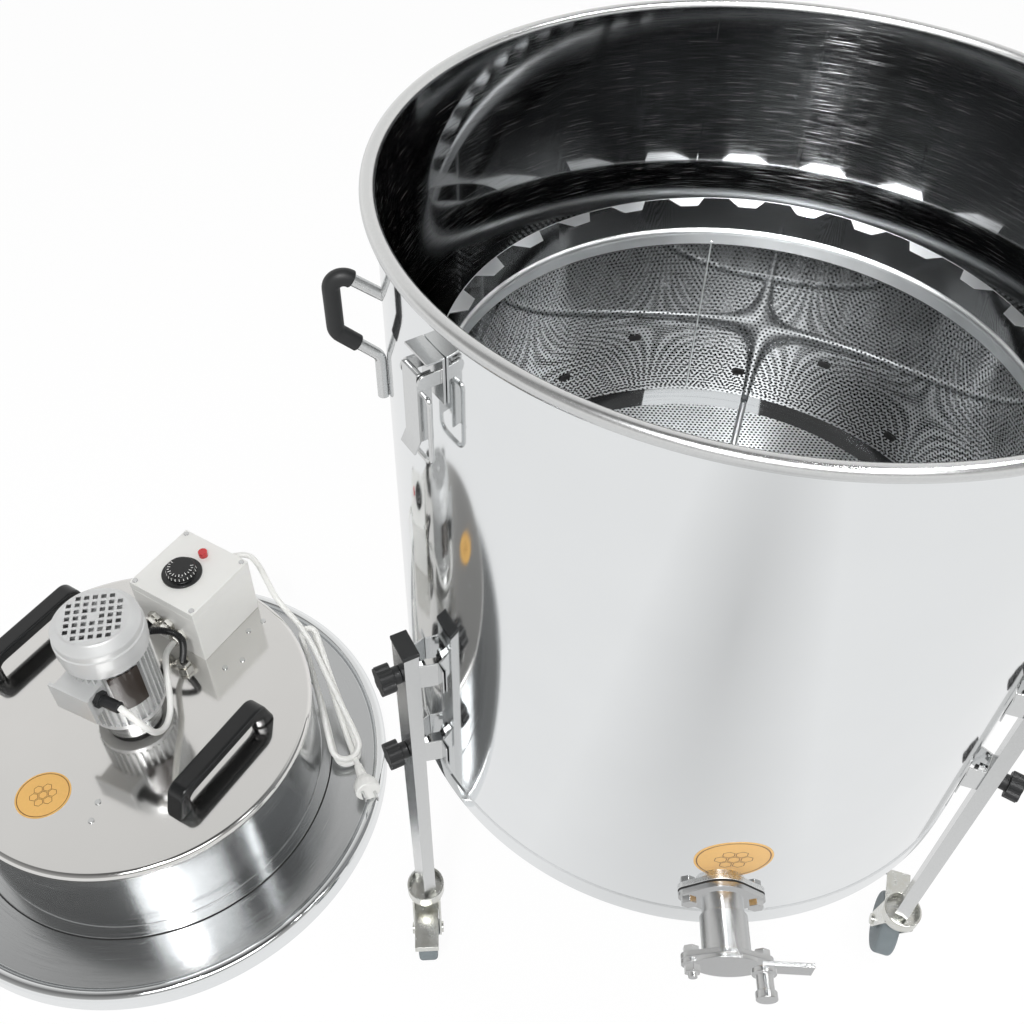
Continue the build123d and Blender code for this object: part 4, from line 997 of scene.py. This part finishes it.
class SeparatorLegs(bpy.types.Operator):
    """Leg tubes, caps, brackets and clamping knobs"""

    bl_idname = "separator.legs"
    bl_label = "Legs"

    def execute(self, context):
        tube_steel = satin_steel("stainless_tube_ground", 0.18, 0.28)
        nylon = black_nylon()
        finished("leg_tubes", "tank", "leg_steel", tube_steel, 1.2, 3)
        finished("leg_caps", "tank", "black_plastic", nylon, 1.0, 3)
        finished("leg_brackets", "tank", "bar_steel", satin_steel("stainless_bracket_bright", 0.1, 0.2))
        for number in range(1, 7):
            finished(f"leg_knob_{number}", f"leg_knob_{number}", "black_plastic", nylon, 1.2, 3)
        return {"FINISHED"}


class SeparatorCastors(bpy.types.Operator):
    """Castor seats, forks, wheels and brake pedals"""

    bl_idname = "separator.castors"
    bl_label = "Castors"

    def execute(self, context):
        zinc, tread = zinc_plate(), grey_tread()
        finished("castor_seats", "tank", "zinc_steel", zinc, 1.0, 3)
        for number in (1, 2, 3):
            for node in (f"castor_fork_{number}", f"brake_pedal_{number}"):
                finished(node, node, "zinc_steel", zinc, 0.6)
            finished(f"castor_wheel_{number}", f"castor_wheel_{number}", "grey_tyre", tread, 1.0, 3)
        return {"FINISHED"}


class SeparatorOutlet(bpy.types.Operator):
    """Outlet spigot, gate body, flap, bolts and thumb nut"""

    bl_idname = "separator.outlet"
    bl_label = "Outlet"

    def execute(self, context):
        cast = satin_steel("stainless_cast_turned", 0.18, 0.3, 0.76)
        bolt = satin_steel("stainless_bolt_turned", 0.14, 0.24, 0.8)
        nut = satin_steel("stainless_nut_turned", 0.14, 0.24, 0.78)
        for piece in (
            finished("outlet_gasket", "tank", "black_rubber", black_rubber(), 0.2),
            finished("outlet_spigot", "tank", "cast_steel", cast, 0.6),
            finished("gate_body", "tank", "cast_steel", cast, 0.6),
            finished("outlet_bolts", "tank", "bolt_steel", bolt),
            finished("gate_flap", "gate", "cast_steel", cast, 0.8, 3),
            finished("gate_nut", "thumb_nut", "brass_nut", nut, 0.8, 3),
        ):
            # The polished wall shows no mirror image of it
            piece.visible_glossy = False
        return {"FINISHED"}


class SeparatorBasket(bpy.types.Operator):
    """Perforated basket with its bead, collar, floor and rods"""

    bl_idname = "separator.basket"
    bl_label = "Basket"

    def execute(self, context):
        # The bright sheet is darkened as painted shade; the satin sheet keeps the steel's colour
        bright, satin = basket_sheet(), floor_sheet()
        radius = 277.5 * MM
        skin = radius + 1 * MM
        low, high = heights("basket_wall")
        bead = 5.0 * MM
        bead_r, bead_z = 281.0 * MM, high - bead
        wall = self.wall_sheet(radius + 0.5 * MM, low + 19.0 * MM, bead_z - 12.0 * MM)
        dress(wall, "basket", "perforated_steel", bright, "basket_wall")
        outline = [(radius, bead_z - 14 * MM), (radius, bead_z)]
        outline += rolled((bead_r, bead_z), bead, pi + 0.78, 1.5 * pi + 0.78, 16)
        outline += [(skin, bead_z - 6 * MM), (skin, bead_z - 14 * MM)]
        band = lathe("basket_bead", outline, tank_axis, 192, angle=50)
        dress(band, "basket", "perforated_steel", satin)
        inner, outer = radius - 16 * MM, radius + 2.5 * MM
        outline = [
            (inner, low), (outer, low), (outer, low + 16 * MM), (skin, low + 16 * MM), (skin, low + 21 * MM),
            (radius, low + 21 * MM), (radius, low + 2 * MM), (inner, low + 2 * MM),
        ]
        ring = lathe("basket_ring", outline, tank_axis, 192)
        dress(ring, "basket", "perforated_steel", bright)
        collar = finished("basket_collar", "basket", "sheet_steel", [inner_sheet(), satin], 0.2)
        # Faces that look up take the pale satin sheet, the rest the inner sheet darkened as painted shade: painted
        # light on the tops, painted shade on the sides
        for face in collar.data.polygons:
            face.material_index = int(face.normal.z > 0.4)
        self.floor(radius, bright, satin)
        self.plugs(radius)
        return {"FINISHED"}

    def plugs(self, radius):
        """Dark oblong plugs low on the basket's wall, and its upright weld."""
        shape = bmesh.new()
        for angle, height in (
            (124.5, 0.628), (106.0, 0.662), (78.8, 0.614), (59.0, 0.657), (38.0, 0.610), (-20.0, 0.63),
        ):
            turn = Matrix.Rotation(radians(angle), 4, "Z") @ Matrix.Translation((radius - 0.6 * MM, 0, height))
            for side in (-4 * MM, 4 * MM):
                end = turn @ Matrix.Translation((0, side, 0)) @ Matrix.Rotation(pi / 2, 4, "Y")
                peg(shape, 3.6 * MM, 3.6 * MM, 1.2 * MM, end, 24)
            block(shape, (1.2 * MM, 8 * MM, 7.2 * MM), turn)
        plugs = from_bmesh("basket_plugs", shape, tank_axis)
        dress(plugs, "basket", "black_rubber", black_rubber())
        low, high = heights("basket_wall")
        ends = [polar(tank_axis, 91, radius - 0.3 * MM, height) for height in (low + 22 * MM, high - 16 * MM)]
        dress(bar("basket_weld", *ends, 1.0 * MM, 4, 10), "basket", "perforated_steel", floor_sheet())

    def wall_sheet(self, radius, low, high):
        """Perforated wall with a whole number of holes round it."""
        count = round(2 * pi * radius / sizes().pitch)
        pitch = 2 * pi * radius / count
        rows = int((high - low) / (pitch * sqrt(3) / 2))
        cells = [(column, row) for row in range(rows) for column in range(count)]

        def place(x, y):
            angle = x / radius
            return (radius * cos(angle), radius * sin(angle), low + pitch / sqrt(3) + y)

        return perforated("basket_wall_sheet", cells, pitch, place, count)

    def floor(self, radius, bright, satin):
        """Perforated floor with its plain edge and crossed rods."""
        low, high = heights("basket_floor")
        pitch = sizes().pitch
        reach = radius - 10 * MM
        span = int(reach / pitch) + 2
        cells = []
        for row in range(-span - 8, span + 9):
            for column in range(-span, span + 1):
                if hypot(pitch * (column + 0.5 * (row % 2)), pitch * sqrt(3) / 2 * row) < reach:
                    cells.append((column, row))
        level = low + 1.2 * MM

        def place(x, y):
            return (x, y, level)

        sheet = perforated("basket_floor_sheet", cells, pitch, place)
        dress(sheet, "basket", "perforated_steel", satin, "basket_floor")
        outer, inner = radius - 0.1 * MM, reach - 5 * MM
        foot, lip = level - 1 * MM, level + 0.3 * MM
        outline = [(outer, foot), (outer, lip), (inner, lip), (inner, foot)]
        edge = lathe("basket_floor_edge", outline, tank_axis, 192)
        dress(edge, "basket", "perforated_steel", bright)
        half = radius - 8 * MM
        for number, angle in enumerate((75.8, 165.8), 1):
            ends = [polar(tank_axis, angle, sign * half, high - 4 * MM) for sign in (-1, 1)]
            dress(bar(f"basket_rod_{number}", *ends, 4 * MM, 8, 20), "basket", "perforated_steel", satin)


def perforated(name, cells, pitch, place, wrap=0):
    """Sheet of six-sided cells with a hole in each.

    place turns flat (x, y) into a point, and wrap is the number of cells in a row whose ends join.
    """
    reach = pitch / sqrt(3)
    # The six corners of a hole lie a little outside the round hole that they stand for
    rim = sizes().hole / 2 * 1.07
    corners = [(0, 2), (-1, 1), (-1, -1), (0, -2), (1, -1), (1, 1)]
    verts, faces, shared = [], [], {}
    for column, row in cells:
        x0, y0 = 2 * column + row % 2, 3 * row
        outer, inner = [], []
        for dx, dy in corners:
            key = ((x0 + dx) % (2 * wrap) if wrap else x0 + dx, y0 + dy)
            if key not in shared:
                shared[key] = len(verts)
                verts.append(place((x0 + dx) * pitch / 2, (y0 + dy) * reach / 2))
            outer.append(shared[key])
        for k in range(6):
            angle = pi / 2 + k * pi / 3
            inner.append(len(verts))
            verts.append(place(x0 * pitch / 2 + rim * cos(angle), y0 * reach / 2 + rim * sin(angle)))
        for k in range(6):
            after = (k + 1) % 6
            faces.append((outer[k], outer[after], inner[after], inner[k]))
    mesh = bpy.data.meshes.new(name)
    mesh.from_pydata(verts, [], faces)
    mesh.shade_smooth()
    return link(name, mesh, tank_axis)


class SeparatorLidShell(bpy.types.Operator):
    """Lid brim with its rim channel, and the drum"""

    bl_idname = "separator.lid_shell"
    bl_label = "Lid shell"

    def execute(self, context):
        near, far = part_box("lid_brim")
        rim_r, rim_top = (far[0] - near[0]) / 2, far[2]
        inner, brim = 319 * MM, 25 * MM
        drum_r, skin = 241 * MM, 1 * MM
        corners = [
            (drum_r - 2 * MM, brim, 0), (inner, brim, 1.2 * MM), (inner + 0.6 * MM, rim_top, 7 * MM),
            (rim_r, rim_top, 8 * MM), (rim_r, 0, 0.4 * MM), (rim_r - skin, 0, 0.4 * MM),
            (rim_r - skin, rim_top - skin, 7 * MM), (inner + skin, rim_top - skin, 6 * MM),
            (inner + skin, brim - skin, 0), (drum_r - 2 * MM, brim - skin, 0),
        ]
        outline = fillet(corners, 6)
        # The rolled rim is brighter than the flat brim, whose base colour is darkened as painted shade
        marks = [int(min(a[0], b[0]) > inner - 2 * MM) for a, b in pairs(outline)]
        shell = lathe("lid_brim_shell", outline, lid_axis, 256, marks, angle=40)
        dress(shell, "lid", "polished_steel", [brim_sheet(), polished_sheet()], "lid_brim")
        hole, lip, foot = 9 * MM, drum_r + 2 * MM, drum_r + 15 * MM
        seat, flange = brim + 0.05 * MM, brim + 2.4 * MM
        corners = [
            (hole, drum_top, 0), (lip, drum_top, 7 * MM), (lip, drum_top - 13 * MM, 1.5 * MM),
            (drum_r, drum_top - 14 * MM, 0.3 * MM), (drum_r, flange, 1.2 * MM), (foot, flange, 1 * MM),
            (foot, seat, 0), (drum_r - skin, seat, 0), (drum_r - skin, drum_top - skin, 5 * MM),
            (hole, drum_top - skin, 0),
        ]
        outline = fillet(corners, 8)
        # The drum's side below its rolled edge has the ground finish, with its painted shade
        marks = [int(max(a[1], b[1]) < drum_top - 8 * MM) for a, b in pairs(outline)]
        drum = lathe("lid_drum_shell", outline, lid_axis, 256, marks, angle=40)
        dress(drum, "lid", "polished_steel", [disc_sheet(), drum_side_sheet()], "lid_drum")
        # Painted shadow: a thin black rubber ring at the drum's foot draws the dark line of shade under the flange's
        # edge
        bead = [
            (foot - 1 * MM, brim + 0.06 * MM), (foot + 1.6 * MM, brim + 0.06 * MM),
            (foot + 1 * MM, brim + 1.6 * MM), (foot - 1 * MM, brim + 2 * MM),
        ]
        shadow_line = lathe("lid_foot_shadow_ring", bead, lid_axis, 192, angle=50)
        dress(shadow_line, "lid", "black_rubber", black_rubber())
        finished("lid_fasteners", "lid", "bolt_steel", satin_steel("stainless_rivet_bright", 0.12, 0.22), 0.6, 3)
        return {"FINISHED"}


class SeparatorLidHandles(bpy.types.Operator):
    """Black bow handles on the lid"""

    bl_idname = "separator.lid_handles"
    bl_label = "Lid handles"

    def execute(self, context):
        finished("lid_handles", "lid", "black_plastic", black_abs(), 5.0, 5)
        return {"FINISHED"}


class SeparatorMotor(bpy.types.Operator):
    """Motor body, fan cowl, nameplate and spacer rings"""

    bl_idname = "separator.motor"
    bl_label = "Motor"

    def execute(self, context):
        enamel = silver_enamel()
        finished("motor_body", "lid", "motor_paint", enamel, 0.6)
        self.rings()
        self.cowl(enamel)
        self.nameplate()
        return {"FINISHED"}

    def rings(self):
        """Turned base ring and the black neck ring on it."""
        bore, step, high = 9 * MM, drum_top + 12 * MM, heights("motor_ring")[1]
        steel = satin_steel("aluminium_ring_turned", 0.2, 0.3, 0.9)
        for name, radius, low, rise, edge, slot, material, nodes in (
            ("motor_base_ring", 39 * MM, drum_top, step, 1.2 * MM, "motor_paint", steel, ["motor_ring"]),
            ("motor_neck_ring", 36 * MM, step, high, 0.8 * MM, "black_plastic", black_nylon(), []),
        ):
            outline = fillet([(bore, low, 0), (radius, low, 0.5 * MM), (radius, rise, edge), (bore, rise, 0)])
            dress(lathe(name, outline, lid_axis, 96), "lid", slot, material, *nodes)

    def cowl(self, enamel):
        """Sheet cowl with a stepped band and a square grid of holes in its top."""
        low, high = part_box("motor_cowl")
        z0, z1 = low[2], high[2]
        radius, skin = (high[0] - low[0]) / 2, 1.2 * MM
        band = radius - 1.5 * MM
        corners = [
            (0, z1, 0), (radius - 12 * MM, z1, 6 * MM), (band, z1 - 12 * MM, 5 * MM), (band, z1 - 22 * MM, 1 * MM),
            (radius, z1 - 24 * MM, 1 * MM), (radius, z0, 0.3 * MM), (radius - skin, z0, 0),
            (radius - skin, z1 - 24 * MM, 0), (band - skin, z1 - 22.5 * MM, 0),
            (band - skin, z1 - 12.5 * MM, 3 * MM), (radius - 12.5 * MM, z1 - skin, 3 * MM), (0, z1 - skin, 0),
        ]
        shell = lathe("motor_cowl_shell", fillet(corners), lid_axis, 96, closed=False)
        pitch, hole = sizes().cowl_pitch, sizes().cowl_hole
        cutter = bmesh.new()
        turn, reach = Matrix.Rotation(radians(12), 4, "Z"), 38 * MM
        for row in range(-3, 4):
            for column in range(-3, 4):
                x, y = column * pitch, row * pitch
                if hypot(x, y) < reach and (row or column):
                    block(cutter, (hole, hole, 8 * MM), turn @ Matrix.Translation((x, y, z1)))
        tool = from_bmesh("cowl_cutter", cutter, lid_axis)
        cut = shell.modifiers.new("holes", "BOOLEAN")
        cut.object, cut.operation, cut.solver = tool, "DIFFERENCE", "EXACT"
        bpy.context.view_layer.update()
        made = bpy.data.meshes.new_from_object(shell.evaluated_get(bpy.context.evaluated_depsgraph_get()))
        shell.modifiers.clear()
        shell.data = made
        bpy.data.objects.remove(tool)
        smooth(shell.data, 30)
        dress(shell, "lid", "motor_paint", enamel, "motor_cowl")

    def nameplate(self):
        plate = wall_patch("motor_nameplate", lid_axis, 53.2 * MM, (-72, -28), (248 * MM, 318 * MM), 0.6 * MM)
        dress(plate, "lid", "motor_paint", foil_label("anodised_plate_brown", linear("#2b2018"), 0.3, 0.45))


def wall_patch(name, axis, radius, angles, levels, thick):
    """Thin plate bent round an upright axis."""
    steps = 16
    shape = bmesh.new()
    grid = []
    for reach in (radius, radius + thick):
        rows = []
        for k in range(steps + 1):
            angle = angles[0] + (angles[1] - angles[0]) * k / steps
            rows.append([shape.verts.new(polar(axis, angle, reach, z)) for z in levels])
        grid.append(rows)
    inner, outer = grid
    for k in range(steps):
        shape.faces.new((outer[k][0], outer[k + 1][0], outer[k + 1][1], outer[k][1]))
        shape.faces.new((inner[k][1], inner[k + 1][1], inner[k + 1][0], inner[k][0]))
        for end in (0, 1):
            shape.faces.new((inner[k][end], inner[k + 1][end], outer[k + 1][end], outer[k][end]))
    for k in (0, steps):
        shape.faces.new((inner[k][0], inner[k][1], outer[k][1], outer[k][0]))
    return from_bmesh(name, shape)


class SeparatorFanHeater(bpy.types.Operator):
    """Fan rotor and heater ring"""

    bl_idname = "separator.fan_heater"
    bl_label = "Fan and heater"

    def execute(self, context):
        finished("fan_wheel", "fan_rotor", "heater_steel", satin_steel("aluminium_fan_pressed", 0.25, 0.4, 0.85), 0.2)
        finished("heater_ring", "lid", "heater_steel", heater_tube(), 0.3)
        return {"FINISHED"}


class SeparatorControlBox(bpy.types.Operator):
    """Control box with its dial and pilot lamp"""

    bl_idname = "separator.control_box"
    bl_label = "Control box"

    def execute(self, context):
        plastic = grey_abs()
        finished("control_box", "lid", "grey_plastic", plastic, 1.2, 3)
        finished("control_cover", "lid", "grey_plastic", plastic, 1.2, 3)
        finished("pilot_lamp", "lid", "red_lens", red_lens(), 1.2, 3)
        self.dial()
        return {"FINISHED"}

    def dial(self):
        """Skirted knob with white marks."""
        hub, high = middle("thermostat_knob"), heights("thermostat_knob")[1]
        base = high - 14 * MM
        skirt, shaft, foot = 28 * MM, 3 * MM, base - 26 * MM
        corners = [
            (0, high, 0), (19.6 * MM, high, 1.5 * MM), (21.5 * MM, base + 4 * MM, 1.2 * MM),
            (skirt, base + 3.6 * MM, 1 * MM), (skirt, base, 0.3 * MM), (shaft, base, 0), (shaft, foot, 0), (0, foot, 0),
        ]
        knob = lathe("dial_knob", fillet(corners, 4), Vector((hub.x, hub.y, 0)), 96, closed=False)
        dress(knob, "dial", "black_plastic", black_abs(), "thermostat_knob")
        shape = bmesh.new()
        count, start, sweep = sizes().ticks, 150, 225
        for k in range(count):
            turn = Matrix.Rotation(radians(start + sweep * k / (count - 1)), 4, "Z")
            long = (2.8 if k % 2 else 4.4) * MM
            face = Matrix.Translation((hub.x, hub.y, high + 0.02 * MM)) @ turn
            block(shape, (long, 0.9 * MM, 0.2 * MM), face @ Matrix.Translation((18 * MM - long / 2, 0, 0)))
            side = Matrix.Translation((hub.x, hub.y, high - 5 * MM)) @ turn @ Matrix.Translation((20.6 * MM, 0, 0))
            block(shape, (0.5 * MM, 1.0 * MM, 4 * MM), side @ Matrix.Rotation(radians(-11), 4, "Y"))
        marks = from_bmesh("dial_marks", shape)
        dress(marks, "dial", "white_plastic", foil_label("ink_printed_white", linear("#f4f4f2")))


class SeparatorBadges(bpy.types.Operator):
    """Plain oval labels on the lid and the tank"""

    bl_idname = "separator.badges"
    bl_label = "Badges"

    def execute(self, context):
        amber = foil_label("foil_printed_amber", colours().badge)
        ink = foil_label("foil_printed_brown", colours().badge_ink)
        wide = sizes().badge / 2
        lid_spot, lid_turn = Vector((-0.076, -0.135, drum_top)), Matrix.Rotation(radians(20), 3, "Z")
        tank_turn, tank_height, tilt = radians(-89), 0.537, 0.1

        def on_lid(x, y, lift):
            return lid_axis + lid_spot + lid_turn @ Vector((x, y, lift))

        def on_tank(x, y, lift):
            angle = tank_turn + x / skin_r
            reach = skin_r + lift
            return tank_axis + Vector((reach * cos(angle), reach * sin(angle), tank_height + y + tilt * x))

        for body, place, high in (("lid", on_lid, 0.94), ("tank", on_tank, 0.95)):
            plate = oval(f"{body}_badge", place, wide, wide * high, 0.25 * MM)
            dress(plate, body, "polished_steel", amber)
            print_lines = honeycomb(f"{body}_badge_print", place, wide, wide * high)
            dress(print_lines, body, "polished_steel", ink)
        return {"FINISHED"}


def oval(name, place, wide, high, lift):
    """Thin oval plate laid on a surface, with its edge turned down to it."""
    rings, steps = 6, 64
    shape = bmesh.new()
    hub = shape.verts.new(place(0, 0, lift))
    lines = [
        [shape.verts.new(place(wide * share * x, high * share * y, rise)) for x, y in circle(steps)]
        for share, rise in [(ring / rings, lift) for ring in range(1, rings + 1)] + [(1, 0.0)]
    ]
    for a, b in pairs(lines[0]):
        shape.faces.new((hub, a, b))
    for near, far in zip(lines, lines[1:]):
        join(shape, near, far)
    return from_bmesh(name, shape)


def honeycomb(name, place, wide, high):
    """Printed border and a small group of comb cells."""
    shape = bmesh.new()
    lift = 0.32 * MM

    def band(x0, y0, corners, *reaches):
        join(shape, *(
            [shape.verts.new(place(x0 + wide * reach * x, y0 + high * reach * y, lift)) for x, y in corners]
            for reach in reaches
        ))

    band(0, 0, circle(64), 0.91, 0.94)
    cell = 0.19
    corners = [(cos(radians(30 + 60 * k)), sin(radians(30 + 60 * k))) for k in range(6)]
    for x, y in ((0, 0), (1, 0), (-1, 0), (0.5, 0.866), (-0.5, 0.866), (0.5, -0.866), (-0.5, -0.866)):
        step = cell * sqrt(3)
        band(x * step * wide, y * step * high, corners, cell * 0.8, cell * 0.92)
    return from_bmesh(name, shape)


operators = (
    SeparatorStage,
    SeparatorMainsCord,
    SeparatorLidLeads,
    SeparatorTankShell,
    SeparatorTankHandles,
    SeparatorLatches,
    SeparatorLegs,
    SeparatorCastors,
    SeparatorOutlet,
    SeparatorBasket,
    SeparatorLidShell,
    SeparatorLidHandles,
    SeparatorMotor,
    SeparatorFanHeater,
    SeparatorControlBox,
    SeparatorBadges,
)


class SeparatorPanel(bpy.types.Panel):
    """Sizes, colours and pieces of the separator"""

    bl_idname = "SEPARATOR_PT_main"
    bl_label = "Wax separator"
    bl_space_type = "VIEW_3D"
    bl_region_type = "UI"
    bl_category = "Separator"

    def draw(self, context):
        for group in (context.scene.separator_sizes, context.scene.separator_colours):
            box = self.layout.box()
            for key in group.__annotations__:
                box.prop(group, key)
        for operator in operators:
            self.layout.operator(operator.bl_idname)


classes = (SeparatorSizes, SeparatorColours, *operators, SeparatorPanel)


def register():
    for made in classes:
        bpy.utils.register_class(made)
    bpy.types.Scene.separator_sizes = PointerProperty(type=SeparatorSizes)
    bpy.types.Scene.separator_colours = PointerProperty(type=SeparatorColours)


def unregister():
    del bpy.types.Scene.separator_colours
    del bpy.types.Scene.separator_sizes
    for made in reversed(classes):
        bpy.utils.unregister_class(made)


def main():
    register()
    for operator in operators:
        group, name = operator.bl_idname.split(".")
        getattr(getattr(bpy.ops, group), name)()


if __name__ == "__main__":
    main()
